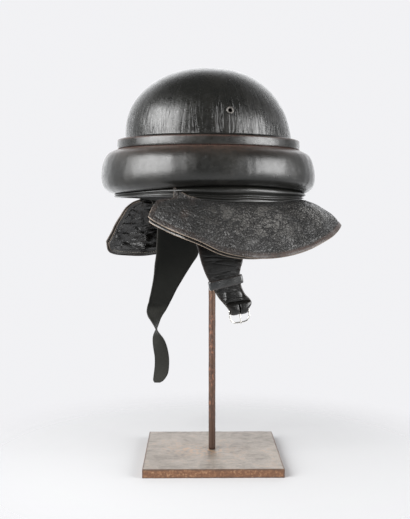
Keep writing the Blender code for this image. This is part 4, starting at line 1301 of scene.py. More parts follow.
@dataclass
class Flap:
    """Leather flap round the nape and sides, with its lining, hem stitches and tan cut edges."""

    forward: float = 0.032
    reach: float = 0.055
    drop: float = 0.086
    leather: float = 0.0022
    lining_leather: float = 0.0016
    columns: int = 300
    rows: int = 46
    tab_rows: int = 7
    bend_out: float = 0.55
    bend_down: float = 0.12
    ring_depth: float = 0.0094
    hem: float = 0.0068
    hem_groove: float = 0.0011
    hem_stitch: tuple = (0.0026, 0.0038, 0.00026)
    lining_stitch: tuple = (0.0024, 0.0042, 0.00044)
    first: float = 48.5
    last: float = 313.0
    shape: tuple = (
        (48.5, 0.06, 0.66, 0.29),
        (51.0, 0.06, 0.69, 0.34),
        (60.0, 0.00, 0.78, 0.48),
        (70.0, 0.00, 0.84, 0.63),
        (80.0, 0.00, 0.84, 0.78),
        (90.0, 0.00, 0.84, 0.87),
        (100.0, 0.00, 0.86, 0.885),
        (110.0, 0.00, 0.91, 0.86),
        (120.0, 0.00, 0.96, 0.78),
        (130.0, 0.00, 1.01, 0.67),
        (140.0, 0.00, 1.03, 0.57),
        (152.0, 0.00, 1.01, 0.46),
        (172.0, 0.00, 0.93, 0.34),
        (192.0, 0.00, 0.89, 0.34),
        (212.0, 0.00, 0.87, 0.44),
        (232.0, 0.00, 0.78, 0.60),
        (252.0, 0.06, 0.67, 0.79),
        (270.0, 0.19, 0.58, 0.93),
        (288.0, 0.44, 0.53, 1.00),
        (301.0, 0.75, 0.49, 0.98),
        (307.0, 0.91, 0.47, 0.94),
        (311.0, 1.00, 0.46, 0.87),
        (313.0, 1.00, 0.44, 0.72),
    )
    hinge: tuple = (
        (40.0, 0.3735, 0.3735),
        (48.5, 0.3730, 0.3832),
        (56.0, 0.3722, 0.3848),
        (60.0, 0.3712, 0.3790),
        (64.0, 0.3702, 0.3740),
        (70.0, 0.3688, 0.3702),
        (82.0, 0.3660, 0.3668),
        (92.0, 0.3644, 0.3652),
        (102.0, 0.3644, 0.3652),
        (114.0, 0.3652, 0.3660),
        (136.0, 0.3684, 0.3692),
        (158.0, 0.3708, 0.3716),
        (181.0, 0.3714, 0.3722),
    )

    def mirrored(self, turn: np.ndarray) -> np.ndarray:
        """The turn on the left side that answers to a turn on either side."""
        turn = np.asarray(turn, float)
        both = self.first + self.last
        return np.where(turn > 0.5 * both, both - turn, turn)

    def hinge_height(self, turn: np.ndarray) -> np.ndarray:
        """Height at which the flap leaves the rim."""
        table = np.array(self.hinge)
        return np.interp(self.mirrored(turn), table[:, 0], table[:, 1])

    def tab_height(self, turn: np.ndarray) -> np.ndarray:
        """Height of the flap's upper edge, which laps over the rim at its front corners."""
        table = np.array(self.hinge)
        return np.interp(self.mirrored(turn), table[:, 0], table[:, 2])

    def turns(self) -> np.ndarray:
        """Turns of the flap's columns, closer together at its ends."""
        share = np.linspace(0.0, 1.0, self.columns)
        share = share + 0.055 * np.sin(2.0 * np.pi * share) * -1.0
        return self.first + (self.last - self.first) * share

    def outer(self, turns: np.ndarray, down: np.ndarray) -> np.ndarray:
        """Points of the flap's outer face: rows run down, columns run round."""
        table = np.array(self.shape)
        largest = np.array([[self.forward], [self.reach], [self.drop]])
        forward, reach, drop = curve_through(table[:, 0], table[:, 1:], turns).T * largest
        from_corner = np.minimum(turns - self.first, self.last - turns)
        side = np.where(turns > 180.0, 1.0, -1.0)
        tuck = 7.5 * np.clip(1.0 - from_corner / 13.0, 0.0, 1.0)
        d = down[:, None]
        shifted = turns[None, :] - side * tuck * np.clip(1.0 - np.maximum(d, 0.0) / 0.38, 0.0, 1.0)
        out_way = FORM.outward(FORM.rim_half, shifted)
        inward = np.abs(out_way[..., 0]) * side * np.sign(-out_way[..., 0]) * -1.0
        ahead = np.stack([-np.abs(out_way[..., 1]), inward, 0.0 * shifted], axis=-1)
        lapped = FORM.rim_half + FORM.gap + self.leather + 0.0004
        under = eased((from_corner - 14.0) / 12.0)
        half = lapped + (FORM.wall_half + self.ring_depth - lapped) * under
        hinge, tab = self.hinge_height(shifted), self.tab_height(shifted)
        base = FORM.oval(half[None, :], shifted, hinge)
        edge = FORM.rim_bottom - FORM.gap - 0.0008 - drop
        free = np.clip(d, 0.0, 1.0)
        bend, square = 2.0 * free * (1.0 - free), free * free
        out = reach * (self.bend_out * bend + square)
        fall = (hinge - edge) * (self.bend_down * bend + square)
        lift = (tab - hinge) * np.clip(-d, 0.0, 1.0)
        points = base + out_way * out[..., None] + ahead * (forward * square)[..., None]
        points[..., 2] += lift - fall
        return points

    def folds(self, turns: np.ndarray, down: np.ndarray, grid: np.ndarray) -> np.ndarray:
        """How far the folds stand out of the flap's plain face."""
        left = self.mirrored(turns)[None, :]
        d = np.clip(down, 0.0, 1.0)[:, None]
        held = eased(d / 0.22) * (1.0 - 0.75 * d**6)
        valley = -0.0050 * bump_at(left, 118.0 + 8.0 * d, 5.0) * eased((0.80 - d) / 0.5)
        crest = 0.0034 * bump_at(left, 106.0, 7.0) * bump_at(d, 0.50, 0.30)
        rear = 0.0036 * bump_at(left, 139.0, 9.0) * bump_at(d, 0.62, 0.30)
        near = -0.0010 * bump_at(left, 88.0 - 10.0 * d, 5.5) * bump_at(d, 0.50, 0.30)
        near = near + 0.0010 * bump_at(left, 70.0, 8.0) * bump_at(d, 0.6, 0.3)
        drape = 0.0012 * d * d * np.sin(np.radians(turns)[None, :] * 17.0)
        loose = 0.0020 * crumple(grid, 24.0, 2, 12.0) + 0.0008 * crumple(grid, 60.0, 2, 3.0)
        return held * (valley + crest + rear + near + loose) + drape

    def from_edges(self, grid: np.ndarray) -> tuple[np.ndarray, np.ndarray]:
        """Distances of each point from the flap's lower edge and from its nearer end."""
        fall = np.linalg.norm(np.diff(grid, axis=0), axis=2)
        to_edge = np.concatenate([np.cumsum(fall[::-1], axis=0)[::-1], np.zeros((1, grid.shape[1]))])
        run = np.linalg.norm(np.diff(grid, axis=1), axis=2)
        start = np.concatenate([np.zeros((grid.shape[0], 1)), np.cumsum(run, axis=1)], axis=1)
        return to_edge, np.minimum(start, start[:, -1:] - start)

    def build(self) -> list[bpy.types.Object]:
        """Builds the flap's leather and lining, and sews its hem."""
        turns = self.turns()
        tab = np.linspace(-1.0, 0.0, self.tab_rows)[:-1]
        free = np.linspace(0.0, 1.0, self.rows)
        down = np.concatenate([tab, free**0.9])
        plain = self.outer(turns, down)
        normals = grid_normals(plain)
        normals *= np.sign(normals[len(down) // 2, len(turns) // 2, 2])
        to_edge, to_end = self.from_edges(plain)
        border = np.minimum(to_edge, to_end)
        folds = self.folds(turns, down, plain) - self.hem_groove * bump_at(border, self.hem, 0.0012)
        outer = plain + normals * folds[..., None]
        left = self.mirrored(turns)[None, :] + 0.0 * folds
        near = np.where(turns[None, :] < 180.0, 1.0, 0.45)
        wear = (0.18 + 0.52 * eased((left - 84.0) / 24.0)) * eased((self.hem - border) / 0.002) * near
        wear += 0.30 * eased((crumple(plain, 30.0, 2, 20.0) - 0.1) / 0.4) * eased((86.0 - left) / 26.0) * near
        d = np.clip(down, 0.0, 1.0)[:, None]
        # Painted sheen and shade over the flap's chafing: lighter on the fold crests near 104 and 139 degrees, where
        # highlights fall, and darker in the valley near 117 degrees, where shade falls.
        bulges = bump_at(left, 104.0, 11.0) * bump_at(d, 0.45, 0.30)
        bulges = bulges + bump_at(left, 139.0, 12.0) * bump_at(d, 0.50, 0.30)
        chafing_and_sheen = 0.56 + 0.44 * bulges
        chafing_and_sheen *= 1.0 - 0.80 * bump_at(left, 117.0 + 8.0 * d, 5.0)
        chafing_and_sheen *= eased((left - 66.0) / 22.0) * eased((d - 0.04) / 0.2)
        chafing_and_sheen *= (1.0 - 0.80 * eased((d - 0.68) / 0.2)) * (1.0 - 0.75 * eased((left - 152.0) / 20.0))
        # The chafing and its painted sheen go in as negative wear.
        wear -= np.clip(chafing_and_sheen, 0.0, 1.0) * eased((border - self.hem) / 0.004)
        worn = np.clip(1.25 - (turns[None, :] - self.first) / 52.0, 0.14, 1.0)
        tan = np.where(turns[None, :] < 180.0, worn, 0.12) + 0.0 * folds
        tan[: self.tab_rows] *= 0.45
        middle = outer - normals * (0.5 * self.leather)
        skin = thick_sheet(FORM.place(middle), self.leather, np.clip(wear, -1.0, 1.0), tan)
        cover = carried(skin.build("flap_cover", FLAP_LEATHER, TAN_EDGE), STILL, "worn_leather", "neck_flap")
        inside = self.lining(turns, free)
        return [cover, *inside, self.hem_stitches(border[len(tab) :], outer[len(tab) :], normals[len(tab) :])]

    def lining(self, turns: np.ndarray, free: np.ndarray) -> list[bpy.types.Object]:
        """Builds the lining a hair inside the flap, standing off at the near front corner, and its pale stitches."""
        inset = 1.0 - 0.0016 / self.drop
        keep = slice(1, -1)
        down = 0.02 + (inset - 0.02) * free**0.9
        plain = self.outer(turns, down)[:, keep]
        normals = grid_normals(plain)
        normals *= np.sign(normals[len(down) // 2, plain.shape[1] // 2, 2])
        outer_folds = self.folds(turns, down, self.outer(turns, down))[:, keep]
        chosen = turns[keep][None, :]
        front = eased((108.0 - chosen) / 26.0)
        stand_off = 0.0016 * eased(down[:, None]) * front
        ahead = np.gradient(plain, axis=0)
        ahead /= np.linalg.norm(ahead, axis=2, keepdims=True)
        plain = plain + ahead * (0.0046 * front * eased((down[:, None] - 0.5) / 0.5))[..., None]
        to_edge, to_end = self.from_edges(plain)
        border = np.minimum(to_edge, to_end)
        loose = eased((border - 0.0065) / 0.004)
        side = np.sign(chosen - 180.0)
        along = np.radians(chosen) * FORM.rim_half * side + 0.0 * to_edge
        slanted = np.stack([along + 0.44 * to_edge, to_edge - 0.44 * along, 0.0 * along], axis=-1)
        slanted = slanted + 0.004 * crumple(plain, 40.0, 2, 13.0)[..., None]
        crinkles = 0.0014 * (1.0 + ridged(0.9 * crumple(slanted, (14.0, 75.0, 1.0), 1, 31.0)))
        crinkles = crinkles + 0.0006 * (1.0 + crumple(slanted, (22.0, 160.0, 1.0), 2, 17.0))
        lie = outer_folds - self.leather - 0.0003 - 0.5 * self.lining_leather - stand_off - crinkles * loose
        middle = plain + normals * lie[..., None]
        wear = 0.25 * eased((0.0080 - border) / 0.001)
        worn = np.clip(1.25 - (chosen - self.first) / 55.0, 0.10, 1.0)
        tan = np.where(chosen < 180.0, worn, 0.16) + 0.0 * wear
        skin = thick_sheet(FORM.place(middle), self.lining_leather, wear, tan)
        piece = carried(skin.build("flap_inside", LINING_FACE, TAN_EDGE), STILL, "lining_leather", "flap_lining")
        far = np.flatnonzero((turns[keep] > 200.0) & (turns[keep] < 309.0))
        row = np.argmin(np.abs(to_edge[:, far] - 0.0040), axis=0)
        line = (middle - normals * (0.5 * self.lining_leather))[row, far]
        turned = FORM.place(line - normals[row, far]) - FORM.place(line)
        ticks = Stitching("lining_stitches", *self.lining_stitch)
        return [piece, ticks.sew(FORM.place(line), turned, PALE_THREAD, "lining_leather")]

    def hem_stitches(self, border: np.ndarray, outer: np.ndarray, normals: np.ndarray) -> bpy.types.Object:
        """Sews the hem on the flap's outer face.

        Args:
            border: Distance of each point from the flap's edge.
            outer: Points of the outer face.
            normals: Its normals.

        Returns:
            The row of stitches.
        """
        inside = slice(9, -9)
        row = np.argmin(np.abs(border[:, inside] - self.hem), axis=0)
        column = np.arange(border.shape[1])[inside]
        line, out = outer[row, column], normals[row, column]
        turned = FORM.place(line + out) - FORM.place(line)
        face = Stitching("hem_stitches", *self.hem_stitch)
        return face.sew(FORM.place(line), turned, DARK_THREAD, "worn_leather")


@dataclass
class Straps:
    """The two chin straps, with the keeper on the left one."""

    plane_left: float = 0.1060
    plane_right: float = 0.1040
    leather: float = 0.0020
    ring_depth: float = 0.0035
    front_turn: float = 60.0
    rear_turn: float = 96.0
    straightening: float = 0.075
    left_length: float = 0.1473
    left_width: float = 0.0670
    left_shape: tuple = (
        (-0.770, 0.193, 0.231, 0.193, 0.00),
        (-0.750, 0.377, 0.224, 0.377, 0.00),
        (-0.694, 0.479, 0.216, 0.479, 0.10),
        (-0.636, 0.580, 0.184, 0.567, 0.30),
        (-0.579, 0.655, 0.137, 0.642, 0.60),
        (-0.499, 0.730, 0.128, 0.703, 0.60),
        (-0.428, 0.784, 0.142, 0.757, 0.60),
        (-0.358, 0.845, 0.172, 0.811, 0.65),
        (-0.276, 0.900, 0.236, 0.866, 0.90),
        (-0.182, 0.947, 0.331, 0.910, 1.35),
        (-0.113, 0.981, 0.352, 0.947, 1.65),
    )
    return_rows: int = 6
    return_share: float = 0.96
    right_length: float = 0.2823
    right_width: float = 0.0675
    right_shape: tuple = (
        (0.101, -0.276, 1.000, 0.0),
        (0.197, -0.274, 0.978, 0.0),
        (0.260, -0.281, 0.978, 0.0),
        (0.306, -0.293, 0.978, 0.0),
        (0.356, -0.378, 0.870, 0.0),
        (0.416, -0.473, 0.727, 0.0),
        (0.498, -0.610, 0.579, 0.0),
        (0.551, -0.695, 0.523, 2.0),
        (0.604, -0.779, 0.468, 8.0),
        (0.632, -0.807, 0.422, 25.0),
        (0.657, -0.800, 0.385, 44.0),
        (0.682, -0.788, 0.359, 60.0),
        (0.707, -0.782, 0.341, 76.0),
        (0.731, -0.770, 0.333, 97.0),
        (0.756, -0.748, 0.333, 120.0),
        (0.785, -0.719, 0.333, 137.0),
        (0.817, -0.689, 0.333, 147.0),
        (0.863, -0.659, 0.329, 150.0),
        (0.909, -0.659, 0.326, 150.0),
        (0.948, -0.679, 0.319, 150.0),
        (0.972, -0.711, 0.281, 150.0),
        (0.990, -0.745, 0.222, 150.0),
        (1.000, -0.767, 0.133, 150.0),
    )
    fold_width: float = 0.0238
    fold_radius: float = 0.0034
    bar_across: float = 0.119
    bar_tilt: float = math.radians(7.0)
    keeper_across: float = -0.149
    keeper_down: float = 0.756
    keeper_tilt: float = math.radians(12.0)
    keeper_height: float = 0.0115
    keeper_width: float = 0.0440
    keeper_depth: float = 0.0052
    keeper_painted_sheen: float = 0.0014
    keeper_corner: float = 0.0016
    slot_width: float = 0.0028
    slot_depth: tuple = (-0.0060, 0.0100)
    slot_rise: float = 0.0075

    def bar(self) -> tuple[np.ndarray, np.ndarray, np.ndarray, np.ndarray]:
        """Centre of the buckle's bar, its direction, the way down and the way out, in the helmet's own frame."""
        centre = np.array([self.bar_across * self.left_width, -self.plane_left, FORM.rim_bottom - self.left_length])
        along = np.array([math.cos(self.bar_tilt), 0.0, math.sin(self.bar_tilt)])
        down = np.array([math.sin(self.bar_tilt), 0.0, -math.cos(self.bar_tilt)])
        return centre, along, down, np.array([0.0, -1.0, 0.0])

    def top_row(self, side: Side) -> np.ndarray:
        """Points where a strap is sewn in under the rim."""
        turns = np.linspace(self.front_turn, self.rear_turn, 5)
        row = FORM.oval(FORM.wall_half + self.ring_depth, turns, FORM.rim_bottom - FORM.gap)
        row[:, 1] *= -side.value
        return row

    @staticmethod
    def between(front: np.ndarray, rear: np.ndarray) -> np.ndarray:
        """Five evenly spaced points between two edges."""
        return front + (rear - front) * np.linspace(0.0, 1.0, 5)[:, None]

    def straightened(self, row: np.ndarray, top: np.ndarray, fall: float) -> np.ndarray:
        """Eases a row from the oval at the rim to a flat plane below."""
        flat = eased(fall / self.straightening)
        row[:, 1] = row[:, 1] * flat + top[:, 1] * (1.0 - flat)
        return row

    @staticmethod
    def refined(rows: list[np.ndarray], count: int, columns: int) -> np.ndarray:
        """Reads a smooth grid through a strap's rows."""
        control = np.array(rows)
        middle = control[:, control.shape[1] // 2]
        run = np.concatenate([[0.0], np.cumsum(np.linalg.norm(np.diff(middle, axis=0), axis=1))])
        grid = curve_through(run, control, np.linspace(0.0, run[-1], count))
        places = range(control.shape[1])
        across = curve_through(places, np.swapaxes(grid, 0, 1), np.linspace(0, places[-1], columns))
        return np.swapaxes(across, 0, 1)

    def left_rows(self) -> tuple[list[np.ndarray], int]:
        """Rows of the left strap: down its front, round the bar and up its back, and which row starts the wrap."""
        centre, along, down, out = self.bar()
        top = self.top_row(Side.LEFT)
        front_rows = []
        for front_across, front_down, rear_across, rear_down, layers in self.left_shape:
            plane = -self.plane_left - layers * self.leather
            front = np.array([front_across * self.left_width, plane, FORM.rim_bottom - front_down * self.left_length])
            rear = np.array([rear_across * self.left_width, plane, FORM.rim_bottom - rear_down * self.left_length])
            row = self.between(front, rear)
            front_rows.append(self.straightened(row, top, FORM.rim_bottom - row[:, 2].mean()))
        half = 0.5 * self.fold_width * along
        wrap = []
        for angle in np.linspace(0.0, np.pi, 7):
            middle = centre + self.fold_radius * (math.cos(angle) * out + math.sin(angle) * down)
            wrap.append(self.between(middle - half, middle + half))
        back = []
        for row, shape in list(zip(front_rows, self.left_shape))[: -self.return_rows - 1 : -1]:
            middle = row.mean(axis=0)
            behind = np.array([0.0, 2.0 * shape[-1] * self.leather, 0.0])
            back.append(middle + (row - middle) * self.return_share + behind)
        return [top] + front_rows + wrap + back, 1 + len(front_rows)

    def left(self) -> bpy.types.Object:
        """Builds the left strap, creased above and below its keeper and plump round the buckle's bar."""
        rows, start = self.left_rows()
        run = np.cumsum(np.linalg.norm(np.diff(np.array(rows)[:, 2], axis=0), axis=1))
        turn = run[start - 1] / run[-1]
        grid = self.refined(rows, 300, 41)
        normals = grid_normals(grid)
        normals *= np.sign(-normals[60, 20, 1])
        share = np.linspace(0.0, 1.0, len(grid))[:, None]
        across = np.linspace(-1.0, 1.0, 41)[None, :]
        centre, _, down, _ = self.bar()
        above = -((grid - centre) @ down)
        front = eased((turn + 0.05 - share) / 0.03)
        low = eased((FORM.rim_bottom - grid[..., 2] - 0.060) / 0.030)
        creases = 0.0006 * ridged(1.25 * crumple(grid, (20.0, 20.0, 120.0), 2, 41.0))
        creases = creases + 0.0005 * crumple(grid, (24.0, 24.0, 80.0), 2, 5.0)
        curls = 0.0015 * ridged(1.1 * crumple(grid, (50.0, 50.0, 90.0), 1, 23.0))
        curls = curls * bump_at(above, 0.0200, 0.0070) * (1.0 - across**4)
        creases = (creases * low + curls) * eased((above - 0.0115) / 0.003)
        lobes = 0.55 + 0.45 * np.sqrt(np.clip(1.0 - ((np.abs(across + 0.08) - 0.48) / 0.50) ** 2, 0.0, 1.0))
        round_it = np.sqrt(np.clip(1.0 - ((above - 0.0010) / 0.0085) ** 2, 0.0, 1.0))
        plump = 0.0030 * round_it * lobes - 0.0016 * bump_at(above, 0.0105, 0.0016)
        lie = front * (creases + plump * (1.0 - 0.6 * across**8))
        wear = 0.20 * np.abs(across) ** 10 + 0.0 * share
        skin = thick_sheet(FORM.place(grid + normals * lie[..., None]), self.leather, wear, 0.30 + 0.0 * wear, 0.35)
        strap = skin.build("buckle_strap", BUCKLE_STRAP, GREY_EDGE)
        self.cut_slot(strap)
        strap = carried(strap, STILL, "worn_leather", "left_strap")
        return strap

    def cut_slot(self, strap: bpy.types.Object) -> None:
        """Cuts the prong's slot into the outer lower part of the fold."""
        centre, along, down, out = self.bar()
        corners = []
        for a in (-0.5 * self.slot_width, 0.5 * self.slot_width):
            for o in self.slot_depth:
                corners += [centre + along * a + out * o + down * d for d in (-self.slot_rise, self.slot_rise)]
        order = [[0, 1, 3, 2], [4, 6, 7, 5], [0, 4, 5, 1], [2, 3, 7, 6], [0, 2, 6, 4], [1, 5, 7, 3]]
        cut_out(strap, [Skin(FORM.place(np.array(corners)), order).build("slot_cutter", GREY_EDGE)])

    def right(self) -> bpy.types.Object:
        """Builds the long matte strap, with its half turn above the free end."""
        top = self.top_row(Side.RIGHT)
        rows = [top]
        for down, across, width, twist in self.right_shape:
            angle, fall = math.radians(twist), down * self.right_length
            half = 0.5 * width * self.right_width * np.array([math.cos(angle), math.sin(angle), 0.0])
            centre = np.array([across * self.right_width, self.plane_right, FORM.rim_bottom - fall])
            rows.append(self.straightened(self.between(centre - half, centre + half), top, fall))
        grid = self.refined(rows, 300, 21)
        normals = grid_normals(grid)
        across = np.linspace(-1.0, 1.0, 21)[None, :]
        fall = (FORM.rim_bottom - grid[..., 2]) / self.right_length
        dent = 0.0012 * bump_at(fall - 0.02 * across, 0.575, 0.012) * eased((0.4 - across) / 0.6)
        lie = 0.0007 * crumple(grid, 22.0, 2, 51.0) - dent
        wear = 0.30 * np.abs(across) ** 12 - 0.20 * eased((fall - 0.30) / 0.2) - 0.55 * eased((fall - 0.565) / 0.05)
        skin = thick_sheet(FORM.place(grid + normals * lie[..., None]), self.leather, wear, 0.55 + 0.0 * wear, 0.30)
        strap = carried(skin.build("long_strap", SUEDE_STRAP, GREY_EDGE), STILL, "worn_leather", "right_strap")
        return strap

    def keeper(self) -> bpy.types.Object:
        """Builds the keeper, a leather loop round both legs of the strap."""
        along = np.array([math.cos(self.keeper_tilt), 0.0, math.sin(self.keeper_tilt)])
        up = np.array([-math.sin(self.keeper_tilt), 0.0, math.cos(self.keeper_tilt)])
        out = np.array([0.0, -1.0, 0.0])
        fall = self.keeper_down * self.left_length
        centre = np.array([self.keeper_across * self.left_width, -self.plane_left, FORM.rim_bottom - fall])
        corner = self.keeper_corner
        wide, deep = 0.5 * self.keeper_width - corner, 0.5 * self.keeper_depth - corner
        signs = ((1, 1), (-1, 1), (-1, -1), (1, -1))
        path, ways = [], []
        for quarter, (a, o) in enumerate(signs):
            for share in np.linspace(0.0, 1.0, 7):
                angle = 0.5 * np.pi * (quarter + share)
                way = math.cos(angle) * along + math.sin(angle) * out
                path.append(centre + a * wide * along + o * deep * out + corner * way)
                ways.append(way)
            nearest = path[-1]
            a, o = signs[(quarter + 1) % 4]
            target = centre + a * wide * along + o * deep * out + corner * way
            for share in np.linspace(0.0, 1.0, 16)[1:-1]:
                path.append(nearest + (target - nearest) * share)
                ways.append(way)
        path, ways = np.array(path), np.array(ways)
        section = []
        for angle in np.linspace(-0.5 * np.pi, 0.5 * np.pi, 11):
            lift = math.copysign(abs(math.sin(angle)) ** 0.7, math.sin(angle))
            thick = 0.25 * self.keeper_painted_sheen + 0.95 * self.keeper_painted_sheen * math.cos(angle) ** 0.7
            section.append((thick, 0.5 * lift))
        section += [(0.0, 0.44), (0.0, 0.0), (0.0, -0.44)]
        grid = np.array(
            [[p + w * r + up * (lift * self.keeper_height) for r, lift in section] for p, w in zip(path, ways)]
        )
        rise = (grid - centre) @ up / self.keeper_height
        front = eased((-(grid[..., 1] + self.plane_left)) / 0.003)
        sag = 0.0005 * crumple(grid, 60.0, 2, 61.0) * front
        grid = grid + np.array([0.0, -1.0, 0.0]) * sag[..., None]
        wear = 0.25 * eased((np.abs(rise) - 0.36) / 0.12)
        skin = Skin(FORM.place(grid.reshape(-1, 3)), quads(*grid.shape[:2], True, True), wear=wear.ravel())
        return carried(skin.build("keeper_loop", KEEPER_SHEEN), STILL, "black_leather", "strap_keeper")

    def build(self) -> list[bpy.types.Object]:
        """Builds both straps and the keeper."""
        return [self.left(), self.keeper(), self.right()]


@dataclass
class Buckle:
    """Round wire buckle: its frame and its prong."""

    straps: Straps
    wire: float = 0.0010
    inner_width: float = 0.0248
    drop: float = 0.0170
    corner: float = 0.0082
    bar_corner: float = 0.0015
    prong: float = 0.0008
    prong_loop: float = 0.00055
    prong_length: float = 0.0182

    def in_row(self, points: np.ndarray) -> np.ndarray:
        """Turns points given along the bar, out and up into the row's frame."""
        centre, along, down, out = self.straps.bar()
        return FORM.place(centre + points @ np.stack([along, out, -down]))

    def frame_wire(self) -> bpy.types.Object:
        """Builds the frame, D-shaped, with its bar in the strap's fold."""
        half = 0.5 * self.inner_width + self.wire
        corners = ((half, 0.0), (half, -self.drop), (-half, -self.drop), (-half, 0.0))
        radii = (self.bar_corner, self.corner, self.corner, self.bar_corner)
        path = []
        for index, ((x, z), radius) in enumerate(zip(corners, radii)):
            centre_x, centre_z = x - math.copysign(radius, x), z - radius if z == 0.0 else z + radius
            for angle in 0.5 * np.pi * (1.0 - index - np.linspace(0.0, 1.0, 10)):
                path.append((centre_x + radius * math.cos(angle), 0.0, centre_z + radius * math.sin(angle)))
        path = np.array(path)
        spread = []
        for here, following in zip(path, np.roll(path, -1, axis=0)):
            shares = (0.0, 1 / 3, 2 / 3) if np.linalg.norm(following - here) > 0.002 else (0.0,)
            spread += [here + (following - here) * share for share in shares]
        piece = tube(self.in_row(np.array(spread)), self.wire, 14, closed=True).build("buckle_wire", NICKEL)
        return carried(piece, "frame", "nickel_wire", "buckle_frame")

    def prong_wire(self) -> bpy.types.Object:
        """Builds the prong: a tight loop on the bar, and a straight tongue over the frame."""
        loop = self.wire + 0.00012 + self.prong_loop
        angles = np.radians(np.linspace(-50.0, 178.0, 22))
        curl = np.stack([0.0 * angles, -loop * np.cos(angles), loop * np.sin(angles)], axis=1)
        fall = np.linspace(0.06, 1.0, 14)
        reach = self.wire + FORM.gap + self.prong
        out = loop + (reach - loop) * eased(fall / 0.55)
        tongue = np.stack([0.0 * fall, out, -self.prong_length * fall], axis=1)
        thicker = self.prong_loop + (self.prong - self.prong_loop) * eased(fall / 0.35)
        radius = np.concatenate([np.full(len(curl), self.prong_loop), thicker])
        piece = tube(self.in_row(np.concatenate([curl, tongue])), radius, 12).build("buckle_tongue", NICKEL)
        return carried(piece, "prong", "nickel_wire", "buckle_prong")

    def build(self) -> list[bpy.types.Object]:
        """Builds the frame and the prong."""
        return [self.frame_wire(), self.prong_wire()]


@dataclass
class Stand:
    """Steel plate with its rod, and the rest inside the crown."""

    side: float = 0.190
    thickness: float = 0.012
    edge: float = 0.0010
    cells: int = 84
    rod_radius: float = 0.0050

    def plate(self) -> bpy.types.Object:
        """Builds the plate, with worn edges and a barely uneven top."""
        work = bmesh.new()
        bmesh.ops.create_cube(work, size=2.0)
        bmesh.ops.subdivide_edges(work, edges=work.edges, cuts=self.cells - 1, use_grid_fill=True)
        mesh = bpy.data.meshes.new("plate_shape")
        work.to_mesh(mesh)
        work.free()
        points = np.empty(len(mesh.vertices) * 3)
        mesh.vertices.foreach_get("co", points)
        faces = [list(polygon.vertices) for polygon in mesh.polygons]
        points = points.reshape(-1, 3)
        squeezed = np.sign(points) * (1.0 - (1.0 - np.abs(points)) ** 1.35)
        half = np.array([0.5 * self.side, 0.5 * self.side, 0.5 * self.thickness])
        flat = squeezed * half
        nicks = self.edge * (1.0 + 0.8 * crumple(flat, 90.0, 2, 71.0))[:, None]
        inner = np.clip(flat, -(half - nicks), half - nicks)
        away = flat - inner
        length = np.linalg.norm(away, axis=1, keepdims=True)
        rounded = inner + away / np.maximum(length, 1e-9) * np.minimum(length, nicks)
        rounded[:, 2] += 0.5 * self.thickness
        from_side = half[0] - np.abs(flat[:, :2])
        from_top = half[2] - np.abs(flat[:, 2])
        nearest = np.sort(np.column_stack([from_side, from_top]), axis=1)
        sides = eased((0.0012 - from_side.min(axis=1)) / 0.0008)
        arris = 1.3 * np.exp(-((nearest[:, 1] / 0.0017) ** 2)) * (0.85 + 0.5 * crumple(flat, 60.0, 2, 74.0))
        from_foot = np.linalg.norm((flat[:, :2] - [-0.012, -0.006]) * [0.7, 1.0], axis=1)
        foot = 0.9 * np.exp(-((from_foot / 0.030) ** 2))
        bpy.data.meshes.remove(mesh)
        piece = Skin(rounded, faces, lay=np.column_stack([sides, arris, foot])).build("base_plate", PLATE_STEEL)
        return carried(piece, STILL, "bare_steel", "stand_plate")

    def rod(self) -> bpy.types.Object:
        """Builds the rod, with the small unevenness of old bar stock."""
        low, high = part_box("stand_rod")
        height = np.linspace(low.z, high.z, 150)
        path = np.stack([0.0 * height, 0.0 * height, height], axis=1)
        skin = tube(path, self.rod_radius, 36)
        skin.points[:, 2] = np.clip(skin.points[:, 2], low.z, high.z)
        swell = 1.0 + 0.035 * crumple(skin.points, (120.0, 120.0, 60.0), 3, 81.0)[:, None] - 0.02
        skin.points[:, :2] *= swell
        skin.wear = 0.75 * np.exp(-(((skin.points[:, 2] - low.z) / 0.040) ** 2))
        return carried(skin.build("upright_rod", ROD_STEEL), STILL, "rusty_steel", "stand_rod")

    def build(self) -> list[bpy.types.Object]:
        """Builds the plate and the rod, and dresses the rest."""
        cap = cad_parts["stand_cap"]
        cap.data.materials.clear()
        cap.data.materials.append(CAP_STEEL.material())
        return [self.plate(), self.rod()]


